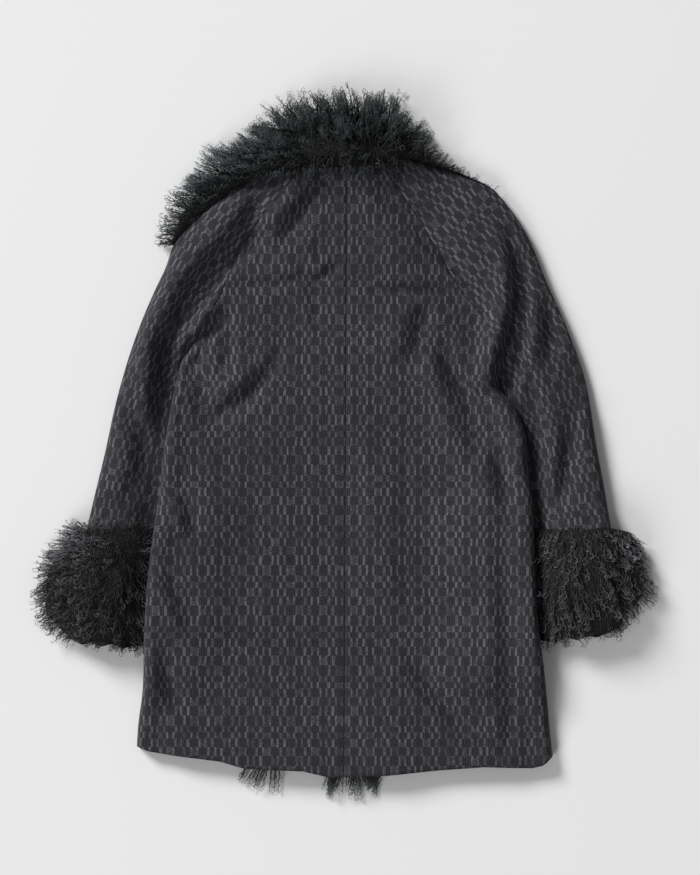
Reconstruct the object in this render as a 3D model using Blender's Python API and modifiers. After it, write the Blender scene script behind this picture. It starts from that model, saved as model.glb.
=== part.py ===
"""Raglan wool coat with a curly fur collar, cuffs and front bands, laid face down on a floor.

The file is in metres with +Z up. X runs across the coat, Y runs toward its collar, and the
floor is z = 0. The tables and sizes below are in millimetres.
"""
import math

import bmesh
import bpy
import numpy as np

MM = 0.001

# Colours and roughness
BACK_TONE = (0.036, 0.035, 0.042)
FRONT_TONE = (0.030, 0.029, 0.035)
FUR_TONE = (0.008, 0.009, 0.011)
CLOTH_ROUGH = 0.9
FUR_ROUGH = 0.7

# Cloth, seams and the way the layers lie
CLOTH = 2.4          # thickness of the woven cloth
SEAM = 0.3           # gap between two pieces along a seam
LAYER = 1.6          # air between a front and the back that lies on it
LOFT = 3.0           # how loosely the back lies on top
FLAT_SEAM = 4.0      # strip beside a seam that stays in one plane
STAND = 1.5          # upright strip at a rolled edge

# Rolled edges
SIDE_ROLL = 10.0     # reach of the roll at the side edge, on the back
SIDE_UNDER = 8.0     # reach of the roll at the side edge, on the front
SIDE_SEAM_Z = 5.5    # height of the side seam above what the body lies on
SIDE_BEAD = 4.5      # how far the rolled side edge stands up
BEAD_AT = 12.0       # distance of the bead from the side edge
BEAD_WIDE = 15.0
ROOM_AT = 7.0        # distance from the side edge where the cloth below takes most room
ROOM_WIDE = 16.0
ROLL_STEP = 4.0      # spacing of the points that a flat seam has in place of a roll
OVER_ROLL = 16.0     # reach of the roll along the overarm seam
OVER_SEAM_Z = 8.5    # height of the overarm seam
TUCK_ROLL = 5.0      # reach of the roll along the underarm seam
TUCK_SEAM_Z = 4.5    # height of the underarm seam
TUCK_TOP = 9.0       # thickness of the sleeve where the body lies on it
TUCK_AT = 5.0        # distance of the fullness from the underarm seam
TUCK_WIDE = 14.0
OVER_WIDE = 20.0     # width beside the overarm seam that its height spreads over
DIP = 60.0           # length above the armpit over which the raglan seam dips
DIP_START = 6.0      # length above the armpit that stays fully rolled

# What lifts the body off the floor
BAND_HIGH = 11.3
BAND_WIDE = 105.0
BAND_SLOPE = 60.0
SLEEVE_LIFT = TUCK_TOP + 2.0
SLEEVE_SLOPE = 45.0
SLEEVE_IN = 12.0     # width inside the underarm seam that is lifted in full
SLEEVE_END = (-300.0, 60.0)      # y where the sleeve's lift starts to end, and over what length
CUFF_LIFT = 22.5
CUFF_SLOPE = 62.0
CUFF_START = (92.0, 80.0)        # length above the cuff where its lift starts, and over what length
CUFF_END = (-318.0, 90.0)        # y where the cuff's lift starts to end, and over what length
ARMPIT_RUN = 50.0

# Fullness of the sleeves where they show
SHOULDER_RISE = 8.0
SLEEVE_RISE = 12.0
SLEEVE_SHOWS = (5.0, 42.0)       # distance from the body's edge where the rise starts, and its run
WRIST_START = (45.0, 70.0)       # length above the cuff where the wrist starts to lift, and its run
WRIST_TUCKED = 5.5               # height of the wrist's underside where the body lies on it
WRIST_FREE = 15.0                # and where it shows
WRIST_SLOPE = (8.0, 60.0)        # distance from the body's edge where it starts to rise, and its run
WRIST_ROUND = 4.0

# Centre back, centre front and neck
CENTRE_BACK_X = (-2.0, 2.0)      # at the hem, at the neck
CENTRE_BACK_Y = (-482.0, 394.0)
CENTRE_ARMPIT_Y = 88.0
CENTRE_FRONT_X = -43.0
FRONT_NECK_DROP = 70.0
FRONT_HEM_RISE = 4.0
FRONT_GAP = 1.0

# Rows and columns of the panels
SIDE_ROWS = 14
RAGLAN_ROWS = 10
ARM_ROWS = 6
CUFF_ROWS = 6
BACK_COLUMNS = 11
FRONT_COLUMNS = 10
SLEEVE_COLUMNS = 5
UNDER_COLUMNS = 4

# Hem of the body, as x and y from left to right
HEM = (
    (-297, -439), (-280, -446), (-246, -451.5), (-178, -460), (-144, -470), (-59, -474), (-25, -482),
    (2, -482), (60, -480), (129, -473), (197, -468), (265, -470), (282, -466), (295, -453),
)

# Seams and edges of each side, as x and y
OUTLINE = {
    "left": {
        "raglan": ((-235, 107), (-211, 141), (-181, 195), (-154, 256), (-124, 306), (-90, 347), (-65, 386)),
        "edge": ((-297, -439), (-295, -408), (-289, -366), (-285, -259), (-278, -174), (-266, -89),
                 (-256, -4), (-246, 53), (-235, 107)),
        "overarm": ((-110, 374), (-146, 361), (-185, 337), (-221, 306), (-245, 274), (-255, 244),
                    (-271, 210), (-293, 158), (-324, 60), (-343, -25), (-360, -96), (-371, -150),
                    (-381, -217), (-386, -250)),
        "underarm": ((-235, 107), (-249, 56), (-240, 22), (-208, -34), (-211, -89), (-222, -153),
                     (-232, -217), (-238, -271)),
        "shoulder_share": 0.45,
    },
    "right": {
        "raglan": ((219, 70), (214, 125), (197, 170), (164, 209), (136, 258), (107, 306),
                   (77, 351), (49, 391)),
        "edge": ((295, -453), (292, -430), (288, -387), (281, -323), (273, -259), (269, -174),
                 (265, -89), (260, -46), (255, 8), (239, 44), (219, 70)),
        "overarm": ((84, 400), (123, 388), (165, 374.5), (205, 356.5), (233, 327), (260, 284), (287, 219),
                    (315, 156), (339, 89), (357, -11), (371, -89), (381, -160), (386, -236)),
        "underarm": ((219, 70), (241, 40), (238, 8), (208, -38), (205, -103), (214, -174), (222, -266)),
        "shoulder_share": 0.48,
    },
}

# Folds, as start, middle and end of the line, half width, and height, which is below zero for a trough
FOLDS = (
    ((-114, 316), (-221, 217), (-256, 67), 13, -6.5),
    ((-121, 273), (-190, 200), (-242, 96), 11, 4.0),
    ((-178, 181), (-214, 138), (-232, 103), 7, -3.0),
    ((-205, 330), (-245, 262), (-262, 205), 16, 3.0),
    ((-114, 110), (-150, 60), (-200, 32), 13, -3.0),
    ((-171, 167), (-176, 125), (-178, 82), 11, -2.5),
    ((-143, 224), (-80, 229), (-22, 231), 6, -1.5),
    ((35, 214), (110, 210), (190, 209), 6, -1.5),
    ((-15, 380), (-58, 330), (-100, 273), 15, -3.5),
    ((-60, 372), (-100, 330), (-140, 290), 13, 2.5),
    ((14, 309), (113, 302), (190, 214), 13, -3.0),
    ((60, 270), (120, 262), (160, 225), 16, 2.5),
    ((234, 262), (243, 195), (222, 80), 11, -7.5),
    ((213, 240), (222, 180), (206, 120), 12, 3.5),
    ((283, 205), (285, 150), (283, 105), 13, -4.0),
    ((318, 60), (310, -30), (300, -103), 13, -4.5),
    ((99, 188), (97, 140), (92, 96), 18, -2.5),
    ((127, 167), (150, 70), (226, -89), 14, -3.5),
    ((185, 95), (218, 40), (240, -30), 14, 5.0),
    ((63, 11), (72, -100), (99, -224), 16, -2.5),
    ((30, 20), (38, -100), (60, -230), 18, 2.0),
    ((77, -309), (130, -360), (177, -408), 17, -2.5),
    ((-235, -80), (-222, -110), (-214, -140), 11, -3.0),
    ((-235, -210), (-226, -240), (-218, -275), 11, -3.0),
    ((-256, -309), (-249, -394), (-178, -422), 11, -3.0),
    ((-157, -259), (-100, -290), (-43, -323), 15, -2.0),
    ((198, -209), (226, -252), (219, -437), 12, -3.5),
    ((250, -250), (254, -340), (256, -440), 15, 3.0),
    ((-306, 50), (-296, 0), (-288, -56), 13, -4.5),
    ((-330, 0), (-322, -60), (-330, -110), 12, 3.0),
)

# A trough has a soft bank on each side
BANK = 0.55       # share of the trough's depth that a bank rises
BANK_AT = 2.0     # its distance from the trough, in half widths

# Collar fur, from the left shoulder round the neck to the right shoulder
COLLAR = (
    # share of its length, reach past the cloth, reach over the cloth, height
    (0.00, 9, 4, 20),
    (0.07, 26, 6, 30),
    (0.16, 44, 8, 36),
    (0.27, 58, 8, 44),
    (0.37, 80, 10, 52),
    (0.47, 102, 18, 58),
    (0.56, 108, 24, 60),
    (0.66, 100, 20, 56),
    (0.74, 60, 12, 46),
    (0.84, 24, 10, 36),
    (0.93, 14, 10, 28),
    (1.00, 8, 5, 20),
)
COLLAR_TURN = (
    # share of its length, direction that the fur lies in, in degrees
    (0.00, 150.0),
    (0.25, 130.0),
    (0.50, 96.0),
    (0.72, 72.0),
    (0.85, 62.0),
    (1.00, 50.0),
)
COLLAR_PROFILE = (
    # share of the reach, share of the height, how far the locks stand out
    (0.12, 1.00, 1.0),
    (0.30, 0.98, 1.0),
    (0.48, 0.88, 1.0),
    (0.66, 0.72, 1.0),
    (0.82, 0.50, 0.8),
    (0.94, 0.30, 0.5),
    (1.00, 0.14, 0.2),
    (0.96, 0.00, 0.0),
    (0.50, 0.00, 0.0),
)
COLLAR_ENDS = {"left": (-245, 274), "right": (218, 346)}
COLLAR_STATIONS = 56
COLLAR_GAP = 1.7          # gap between the fur and the cloth's edge
COLLAR_LIP_Z = 25.0       # height at which the fur passes over the cloth
COLLAR_SCALLOP = 0.4      # share of the reach past which the edge is scalloped
COLLAR_LOCK = 3.2         # how far the locks stand out

# Cuff fur, from its upper edge to its tips
CUFF = {
    # share of its length, reach past the overarm seam, height
    "left": (
        (0.00, 27, 51), (0.10, 36, 55), (0.24, 48, 58), (0.40, 56, 61),
        (0.55, 58, 62), (0.74, 53, 58), (0.88, 40, 46), (1.00, 20, 30),
    ),
    "right": (
        (0.00, 30, 51), (0.12, 43, 55), (0.36, 47, 60), (0.50, 55, 62),
        (0.66, 52, 59), (0.80, 42, 50), (0.92, 24, 40), (1.00, 4, 30),
    ),
}
CUFF_TOP_Y = -126.0
CUFF_GAP = 0.98           # gap between the fur and the sleeve in its hole
CUFF_PAST_SLEEVE = 34.0   # length of the fur past the end of the sleeve
CUFF_IN = 12.0            # reach of the fur inside the underarm seam
CUFF_TIPS = 7.0           # how far the locks reach past both ends
CUFF_LOCK = (4.2, 3.6)    # how far the locks stand out, upward and outward
CUFF_TUCKED = (
    # share of the width under the body, height
    (0.00, 7.0),
    (0.02, 14.0),
    (0.16, 20.0),
    (0.55, 21.0),
    (1.00, 21.0),
)
CUFF_SHOWN = (
    # share of the width that shows, share of the height
    (0.10, 0.66),
    (0.24, 0.90),
    (0.42, 1.00),
    (0.60, 0.95),
    (0.76, 0.80),
    (0.89, 0.58),
    (0.97, 0.36),
)
CUFF_EDGE_Z = 9.0         # height of the outermost edge
CUFF_CORNER = 3.0         # how far the edge overhangs the flat underside
CUFF_LEAST_HIDDEN = 20.0

# Fur bands: their two edges, and y of their tips in even steps from one edge to the other
BAND_X = {"left": (-148.0, -44.0), "right": (-42.0, 62.0)}
BAND_TIPS = {
    "left": (-466, -486, -497, -503, -500, -492, -502, -482, -476, -474, -474),
    "right": (-474, -476, -482, -493, -500, -487, -495, -503, -498, -494, -480),
}
BAND_END_Y = -500.0
BAND_TOP_Y = 300.0
BAND_FREE = 60.0                  # length over which the tips part
BAND_FREE_ROWS = (0.0, 8.0, 18.0, 32.0)
BAND_ROWS = 8
BAND_TIP_Z = 3.0
BAND_TIP_RUN = 24.0               # length over which a tip gets its full height
BAND_RIPPLE = 1.4
BAND_THIN = (78.0, 27.0, 0.75)    # distance from the fronts' edges, run and share of its thinning


def smooth(value):
    """Soft step from 0 to 1."""
    value = min(max(value, 0.0), 1.0)
    return value * value * (3.0 - 2.0 * value)


def mix(first, second, share):
    return first + (second - first) * share


def along(points, shares):
    """Places on a smooth line through the given points, at shares of its length."""
    points = np.array(points, float)
    length = np.concatenate(([0.0], np.cumsum(np.linalg.norm(np.diff(points, axis=0), axis=1))))
    slope = np.gradient(points, length, axis=0)
    places = []
    for share in shares:
        at = min(max(share, 0.0), 1.0) * length[-1]
        k = min(int(np.searchsorted(length, at, side="right")) - 1, len(points) - 2)
        step = length[k + 1] - length[k]
        t = (at - length[k]) / step
        places.append(
            (2 * t**3 - 3 * t**2 + 1) * points[k]
            + (t**3 - 2 * t**2 + t) * step * slope[k]
            + (3 * t**2 - 2 * t**3) * points[k + 1]
            + (t**3 - t**2) * step * slope[k + 1]
        )
    return np.array(places)


def x_at(points, y):
    """X of an edge at height y."""
    rows = sorted(points, key=lambda place: place[1])
    return float(np.interp(y, [p[1] for p in rows], [p[0] for p in rows]))


def table_at(table, share, column):
    """Value of a table's column at a share of the length."""
    return float(np.interp(share, [row[0] for row in table], [row[column] for row in table]))


def hump(distance, middle, width):
    """Soft hump of height 1 across a seam."""
    return math.exp(-(((distance - middle) / width) ** 2))


def fold_lines():
    """Each fold as points along a bent line, with its half width and height."""
    steps = np.linspace(0.0, 1.0, 13)[:, None]
    lines = []
    for start, middle, end, width, height in FOLDS:
        start, middle, end = (np.array(place, float) for place in (start, middle, end))
        control = 2.0 * middle - 0.5 * (start + end)
        line = (1 - steps) ** 2 * start + 2 * steps * (1 - steps) * control + steps**2 * end
        lines.append((line, width, height))
    return lines


LINES = fold_lines()


def folds(x, y):
    """Height that the folds add at a place."""
    total = 0.0
    place = np.array((x, y))
    for line, width, height in LINES:
        first, second = line[:-1], line[1:]
        run = second - first
        t = np.clip(((place - first) * run).sum(axis=1) / (run * run).sum(axis=1), 0.0, 1.0)
        distance = np.linalg.norm(place - first - run * t[:, None], axis=1)
        k = int(distance.argmin())
        share = (k + t[k]) / len(first)
        taper = 1.0 - abs(2.0 * share - 1.0) ** 3
        banks = BANK * hump(distance[k], BANK_AT * width, width) if height < 0.0 else 0.0
        total += height * taper * (hump(distance[k], 0.0, width) - banks)
    return total


def band_lift(x):
    """How high the fur bands hold the body at x."""
    return (BAND_HIGH + SEAM) * (1.0 - smooth((abs(x - CENTRE_FRONT_X) - BAND_WIDE - 2.0) / BAND_SLOPE))


def sleeve_lift(side, x, y):
    """How high the tucked sleeve and cuff hold the body at a place."""
    outline = OUTLINE[side]
    sign = -1.0 if side == "left" else 1.0
    armpit = outline["raglan"][0][1]
    inside = sign * (x_at(outline["underarm"], y) - x)
    arm = SLEEVE_LIFT * (1.0 - smooth((inside - SLEEVE_IN) / SLEEVE_SLOPE))
    arm *= smooth((armpit + 2.0 - y) / ARMPIT_RUN) * (1.0 - smooth((SLEEVE_END[0] - y) / SLEEVE_END[1]))
    cuff = CUFF_LIFT * (1.0 - smooth((inside - CUFF_IN - SLEEVE_IN) / CUFF_SLOPE))
    cuff *= smooth((CUFF_TOP_Y + CUFF_START[0] - y) / CUFF_START[1])
    cuff *= 1.0 - smooth((CUFF_END[0] - y) / CUFF_END[1])
    return max(arm, 0.0), max(cuff, 0.0)


def body_lift(side, x, y):
    """Underside of the fronts: what the body lies on, blended softly."""
    arm, cuff = sleeve_lift(side, x, y)
    return (band_lift(x) ** 3 + arm**3 + cuff**3) ** (1.0 / 3.0)


def top_of(lift, x, y):
    """Upper face of the back over a given lift."""
    lowest = lift + 2.0 * CLOTH + LAYER
    return max(lowest, lowest + LOFT + folds(x, y))


class Side:
    """The shared lines of one side: body edge, raglan seam and sleeve edges."""

    def __init__(self, name):
        outline = OUTLINE[name]
        self.name = name
        self.sign = -1.0 if name == "left" else 1.0
        self.edge_line = outline["edge"]
        self.edge = along(outline["edge"], np.linspace(0.0, 1.0, SIDE_ROWS + 1))
        # one close row above the armpit, where the seam starts to dip
        shares = np.concatenate(((0.0,), np.linspace(0.03, 1.0, RAGLAN_ROWS)))
        self.raglan = along(outline["raglan"], shares)
        self.armpit = self.raglan[0]
        self.outer = np.vstack((self.edge, self.raglan[1:]))
        top_share = outline["shoulder_share"]
        self.over_upper = along(outline["overarm"], top_share * (1.0 - shares[::-1]))
        self.under_lower, self.over_lower = self.arm_rows(outline, top_share)
        self.seam_top, self.seam_under, self.rolled = self.raglan_heights()

    def arm_rows(self, outline, top_share):
        """Ends of the sleeve's rows below the armpit, with a row where the cuff begins."""
        fine = np.linspace(0.0, 1.0, 201)
        under = along(outline["underarm"], fine)
        over = along(outline["overarm"], mix(top_share, 1.0, fine))
        start_under = float(np.interp(-CUFF_TOP_Y, -under[:, 1], fine))
        start_over = float(np.interp(-CUFF_TOP_Y, -over[:, 1], fine))
        steps = np.arange(1, ARM_ROWS + CUFF_ROWS + 1)
        arm = np.clip(steps / ARM_ROWS, 0.0, 1.0)
        cuff = np.clip((steps - ARM_ROWS) / CUFF_ROWS, 0.0, 1.0)
        shares_under = start_under * arm + (1.0 - start_under) * cuff
        shares_over = start_over * arm + (1.0 - start_over) * cuff
        return (
            along(outline["underarm"], shares_under),
            along(outline["overarm"], mix(top_share, 1.0, shares_over)),
        )

    def raglan_heights(self):
        """Heights of the back and front raglan seams from the armpit to the neck."""
        top, under, rolled = [], [], []
        for x, y in self.raglan:
            from_armpit = float(np.linalg.norm((x, y) - self.armpit))
            share = (1.0 - min(from_armpit / DIP, 1.0)) ** 2
            lift = band_lift(x)
            top.append(mix(top_of(lift, x, y), SIDE_SEAM_Z + SEAM / 2, share))
            under.append(mix(lift, SIDE_SEAM_Z - SEAM / 2, share))
            rolled.append(1.0 - smooth((from_armpit - DIP_START) / DIP))
        return top, under, rolled


def across(lines):
    """Unit vectors square to a line of plan points."""
    run = np.gradient(lines, axis=0)
    square = np.stack((-run[:, 1], run[:, 0]), axis=1)
    return square / np.linalg.norm(square, axis=1)[:, None]


def centre_rows(raised_hem, lowered_neck, x_hem, x_neck):
    """Places of a centre seam or edge, one for each row of the body."""
    y_hem = CENTRE_BACK_Y[0] + raised_hem
    y_neck = CENTRE_BACK_Y[1] - lowered_neck
    lower = np.linspace(y_hem, CENTRE_ARMPIT_Y, SIDE_ROWS + 1)
    upper = np.linspace(CENTRE_ARMPIT_Y, y_neck, RAGLAN_ROWS + 1)[1:]
    y = np.concatenate((lower, upper))
    x = mix(x_hem, x_neck, (y - y[0]) / (y[-1] - y[0]))
    return np.stack((x, y), axis=1)


def hem_y(x):
    return float(np.interp(x, [p[0] for p in HEM], [p[1] for p in HEM]))


def quarter(degrees):
    """Distance in from a rolled edge and height above its seam, as shares of the roll."""
    angle = math.radians(degrees)
    return 1.0 - math.cos(angle), math.sin(angle)


def body_row(side, k, centre, columns, roll_steps, top):
    """One row of the back (top) or of the front, from the centre to the outer edge."""
    below = k <= SIDE_ROWS
    seam_k = k - SIDE_ROWS
    rolled = 1.0 if below else side.rolled[seam_k]
    parted = 0.5 * SEAM if k >= SIDE_ROWS else 0.0
    outer = side.outer[k] + parted * toward(across(side.outer)[k], centre - side.outer[k])
    width = float(np.linalg.norm(centre - outer))
    inward = (centre - outer) / width
    reach = SIDE_ROLL if top else SIDE_UNDER
    lift_edge = body_lift(side.name, *outer) if below else 0.0
    seam_z = lift_edge + SIDE_SEAM_Z
    bend = (1.0 - smooth((k - 1.0) / 2.0)) ** 2

    def place(distance):
        spot = outer + inward * distance
        straight_hem = mix(side.outer[0][1], CENTRE_BACK_Y[0], min(distance / width, 1.0))
        at_edge = hem_y(outer[0]) - side.outer[0][1]
        return np.array((spot[0], spot[1] + bend * (hem_y(spot[0]) - straight_hem - at_edge)))

    def face(spot, distance):
        lift = body_lift(side.name, *spot)
        if not top:
            return lift
        bead = rolled * SIDE_BEAD * hump(distance, BEAD_AT, BEAD_WIDE)
        room = rolled * (LOFT + SIDE_BEAD) * hump(distance, ROOM_AT, ROOM_WIDE)
        return max(top_of(lift, *spot) + bead, lift + 2.0 * CLOTH + LAYER + room)

    sign = 1.0 if top else -1.0
    if below:
        first_z = seam_z + sign * SEAM / 2
    else:
        first_z = side.seam_top[seam_k] if top else side.seam_under[seam_k]
    row = [(*outer, first_z)]
    for step, degrees in enumerate(roll_steps):
        share_in, share_up = quarter(degrees)
        distance = mix(FLAT_SEAM + ROLL_STEP * step, reach * share_in, rolled)
        spot = place(distance)
        flat_z = face(spot, distance)
        start_z = mix(flat_z, first_z + sign * STAND, rolled)
        row.append((*spot, mix(flat_z, start_z + (flat_z - start_z) * share_up, rolled)))
    first = mix(FLAT_SEAM + ROLL_STEP * (len(roll_steps) - 1), reach, rolled)
    last = width - (FLAT_SEAM if top else 0.0)
    for distance in np.linspace(first, last, columns + 2)[1:]:
        spot = place(distance)
        row.append((*spot, face(spot, distance)))
    if top:
        spot = place(width)
        row.append((*spot, face(spot, width)))
    return row


def toward(direction, wanted):
    """The direction, turned round if it points away from the wanted one."""
    return direction if float(np.dot(direction, wanted)) > 0.0 else -direction


def body_rows(side, top):
    if top:
        centre = centre_rows(0.0, 0.0, *CENTRE_BACK_X) + np.array((side.sign * SEAM / 2, 0.0))
        columns, roll_steps = BACK_COLUMNS, (0.0, 30.0, 60.0, 90.0)
    else:
        centre = centre_rows(FRONT_HEM_RISE, FRONT_NECK_DROP, CENTRE_FRONT_X, CENTRE_FRONT_X)
        centre = centre + np.array((side.sign * FRONT_GAP, 0.0))
        columns, roll_steps = FRONT_COLUMNS, (0.0, 45.0, 90.0)
    return [body_row(side, k, centre[k], columns, roll_steps, top) for k in range(len(side.outer))]


def sleeve_sections(side):
    """Ends of every row of a sleeve from the neck to the wrist, with how far the inner edge is rolled."""
    inner = np.vstack((side.raglan[::-1], side.under_lower))
    outer = np.vstack((side.over_upper, side.over_lower))
    rolled = list(side.rolled[::-1]) + [1.0] * len(side.under_lower)
    return inner, outer, rolled


def cuff_share(y):
    """How far the sleeve is inside the cuff."""
    return smooth((CUFF_TOP_Y + WRIST_START[0] - y) / WRIST_START[1])


def sleeve_row(side, k, columns, inner_steps, outer_steps, top):
    """One row of a sleeve half, from its inner seam to the overarm seam."""
    inner_line, outer_line, rolled_line = sleeve_sections(side)
    upper = k <= RAGLAN_ROWS
    rolled = rolled_line[k]
    inner, outer = inner_line[k].copy(), outer_line[k]
    if upper:
        square = across(side.outer)[SIDE_ROWS + RAGLAN_ROWS - k]
        inner += 0.5 * SEAM * toward(square, outer - inner)
    width = float(np.linalg.norm(outer - inner))
    outward = (outer - inner) / width
    sign = 1.0 if top else -1.0

    def visible(spot):
        edge = x_at(side.edge_line, spot[1])
        return side.sign * (spot[0] - edge)

    def lifted(spot):
        wrist = mix(WRIST_TUCKED, WRIST_FREE, smooth((visible(spot) - WRIST_SLOPE[0]) / WRIST_SLOPE[1]))
        return (band_lift(spot[0]) if upper else 0.0) + cuff_share(spot[1]) * wrist

    def face(spot, distance):
        lift = lifted(spot)
        if not top:
            return lift
        share = distance / width
        from_neck = smooth(k / 4.0)
        rise = SHOULDER_RISE * from_neck * max(math.sin(math.pi * min(share, 1.0)), 0.0) ** 1.5
        lowest = lift + 2.0 * CLOTH + LAYER + OVER_SEAM_Z * hump(width - distance, 0.0, OVER_WIDE)
        armpit_room = rolled * SIDE_BEAD * hump(distance, TUCK_AT, TUCK_WIDE)
        high = max(top_of(lift, *spot) + rise, lowest + armpit_room)
        if upper:
            return high
        show = smooth((visible(spot) - SLEEVE_SHOWS[0]) / SLEEVE_SHOWS[1])
        fall = smooth((side.armpit[1] - spot[1]) / ARMPIT_RUN)
        low = lift + TUCK_TOP + show * (SLEEVE_RISE + cuff_share(spot[1]) * WRIST_ROUND + folds(*spot))
        return mix(high, max(low, lowest), fall)

    if upper:
        seam_k = RAGLAN_ROWS - k
        first_z = side.seam_top[seam_k] if top else side.seam_under[seam_k]
    else:
        fall = smooth((side.armpit[1] - inner[1]) / ARMPIT_RUN)
        first_z = mix(SIDE_SEAM_Z, TUCK_SEAM_Z, fall) + lifted(inner) + sign * SEAM / 2
    row = [(*inner, first_z)]
    for step, degrees in enumerate(inner_steps):
        share_in, share_up = quarter(degrees)
        distance = mix(FLAT_SEAM + ROLL_STEP * step, TUCK_ROLL * share_in, rolled)
        spot = inner + outward * distance
        flat_z = face(spot, distance)
        start_z = mix(flat_z, first_z + sign * STAND, rolled)
        row.append((*spot, mix(flat_z, start_z + (flat_z - start_z) * share_up, rolled)))
    first = mix(FLAT_SEAM + ROLL_STEP * (len(inner_steps) - 1), TUCK_ROLL, rolled)
    last = width - OVER_ROLL
    for distance in np.linspace(first, last, columns + 2)[1:-1]:
        spot = inner + outward * distance
        row.append((*spot, face(spot, distance)))
    seam_z = OVER_SEAM_Z + lifted(outer) + sign * SEAM / 2
    for degrees in outer_steps:
        share_in, share_up = quarter(degrees)
        distance = width - OVER_ROLL * share_in
        spot = inner + outward * distance
        flat_z = face(spot, distance)
        start_z = seam_z + sign * STAND
        row.append((*spot, start_z + (flat_z - start_z) * share_up))
    row.append((*outer, seam_z))
    return row


def sleeve_rows(side, top):
    if top:
        columns, inner_steps, outer_steps = SLEEVE_COLUMNS, (0.0, 45.0, 90.0), (90.0, 60.0, 30.0, 0.0)
    else:
        columns, inner_steps, outer_steps = UNDER_COLUMNS, (0.0, 90.0), (90.0, 45.0, 0.0)
    count = RAGLAN_ROWS + 1 + ARM_ROWS + CUFF_ROWS
    return [sleeve_row(side, k, columns, inner_steps, outer_steps, top) for k in range(count)]


def new_object(name, mesh, material, collection):
    part = bpy.data.objects.new(name, mesh)
    mesh.materials.append(material)
    mesh.shade_smooth()
    collection.objects.link(part)
    return part


def panel(name, rows, faces_up, material, collection):
    """A cloth panel: its outer face as a grid of rows, thickened inward."""
    width = len(rows[0])
    points = [tuple(c * MM for c in place) for row in rows for place in row]
    faces = []
    for r in range(len(rows) - 1):
        for c in range(width - 1):
            corner = r * width + c
            faces.append((corner, corner + 1, corner + width + 1, corner + width))
    mesh = bpy.data.meshes.new(name)
    mesh.from_pydata(points, [], faces)
    if (sum(face.normal.z * face.area for face in mesh.polygons) > 0.0) != faces_up:
        mesh.flip_normals()
    part = new_object(name, mesh, material, collection)
    wall = part.modifiers.new("wall", "SOLIDIFY")
    wall.thickness = CLOTH * MM
    wall.offset = -1.0
    wall.use_quality_normals = True
    return part


def closed_loft(name, sections, closed_ring, material, collection):
    """A solid through sections. Rings close on themselves, or plain sections get an end face each."""
    mesh = bpy.data.meshes.new(name)
    shape = bmesh.new()
    loops = [[shape.verts.new(tuple(c * MM for c in place)) for place in section] for section in sections]
    count = len(loops[0])
    pairs = list(zip(loops, loops[1:]))
    if closed_ring:
        pairs.append((loops[-1], loops[0]))
    for first, second in pairs:
        for i in range(count):
            j = (i + 1) % count
            shape.faces.new((first[i], first[j], second[j], second[i]))
    if not closed_ring:
        shape.faces.new(loops[0])
        shape.faces.new(loops[-1])
    bmesh.ops.triangulate(shape, faces=[f for f in shape.faces if len(f.verts) > 4])
    bmesh.ops.recalc_face_normals(shape, faces=shape.faces[:])
    shape.to_mesh(mesh)
    shape.free()
    return new_object(name, mesh, material, collection)


def locks(share_along, share_across, count, seed):
    """Wavy locks of fur as ridges that run outward, between -1 and 1."""
    swing = 0.35 * math.sin(5.0 * share_across + seed) + 0.2 * math.sin(11.0 * share_across + 2.0 * seed)
    ridge = math.sin(2.0 * math.pi * (count * share_along + swing))
    slow = math.sin(2.0 * math.pi * (0.37 * count * share_along + 0.6 * share_across) + seed)
    return 0.65 * ridge + 0.35 * slow


def collar_line():
    """The cloth's edge under the collar, from the left shoulder round the neck to the right shoulder."""
    left_over, right_over = OUTLINE["left"]["overarm"], OUTLINE["right"]["overarm"]
    left = left_over[left_over.index(COLLAR_ENDS["left"])::-1]
    left_neck, right_neck = OUTLINE["left"]["raglan"][-1], OUTLINE["right"]["raglan"][-1]
    neck = (left_neck, (CENTRE_BACK_X[1], CENTRE_BACK_Y[1]), right_neck)
    return np.array(left + neck + right_over[:4] + (COLLAR_ENDS["right"],), float)


def collar_sections():
    """Sections of the collar, which lie in the direction of its fur."""
    line = collar_line()
    shares = np.linspace(0.0, 1.0, COLLAR_STATIONS)
    length = np.concatenate(([0.0], np.cumsum(np.linalg.norm(np.diff(line, axis=0), axis=1))))
    plain = np.stack([np.interp(shares * length[-1], length, line[:, i]) for i in (0, 1)], axis=1)
    sections = []
    for place, share in zip(plain, shares):
        turn = math.radians(table_at(COLLAR_TURN, share, 1))
        out = np.array((math.cos(turn), math.sin(turn)))
        reach, over, high = (table_at(COLLAR, share, column) for column in (1, 2, 3))
        scallop = 1.0 + 0.07 * locks(share, 1.0, 22, 1.3) + 0.06 * locks(share, 0.4, 9, 3.7)
        lip = min(COLLAR_LIP_Z, 0.75 * high)
        outline = [
            (COLLAR_GAP, 0.0, 0.0), (COLLAR_GAP, lip, 0.0), (-over, lip + 0.5, 0.0),
            (-over * scallop, lip + 5.0, 0.3), (-0.45 * over, mix(lip, high, 0.72), 0.8),
        ]
        for part, tall, relief in COLLAR_PROFILE:
            edge = scallop if part > COLLAR_SCALLOP and tall < 0.8 else 1.0
            outline.append((max(part * reach * edge, COLLAR_GAP + 2.0), tall * high, relief))
        section = []
        for i, (outward, z, relief) in enumerate(outline):
            bump = COLLAR_LOCK * relief * locks(share, i / 12.0, 22, 1.3)
            section.append((*(place + out * outward), z + bump))
        sections.append(section)
    return sections


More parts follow.
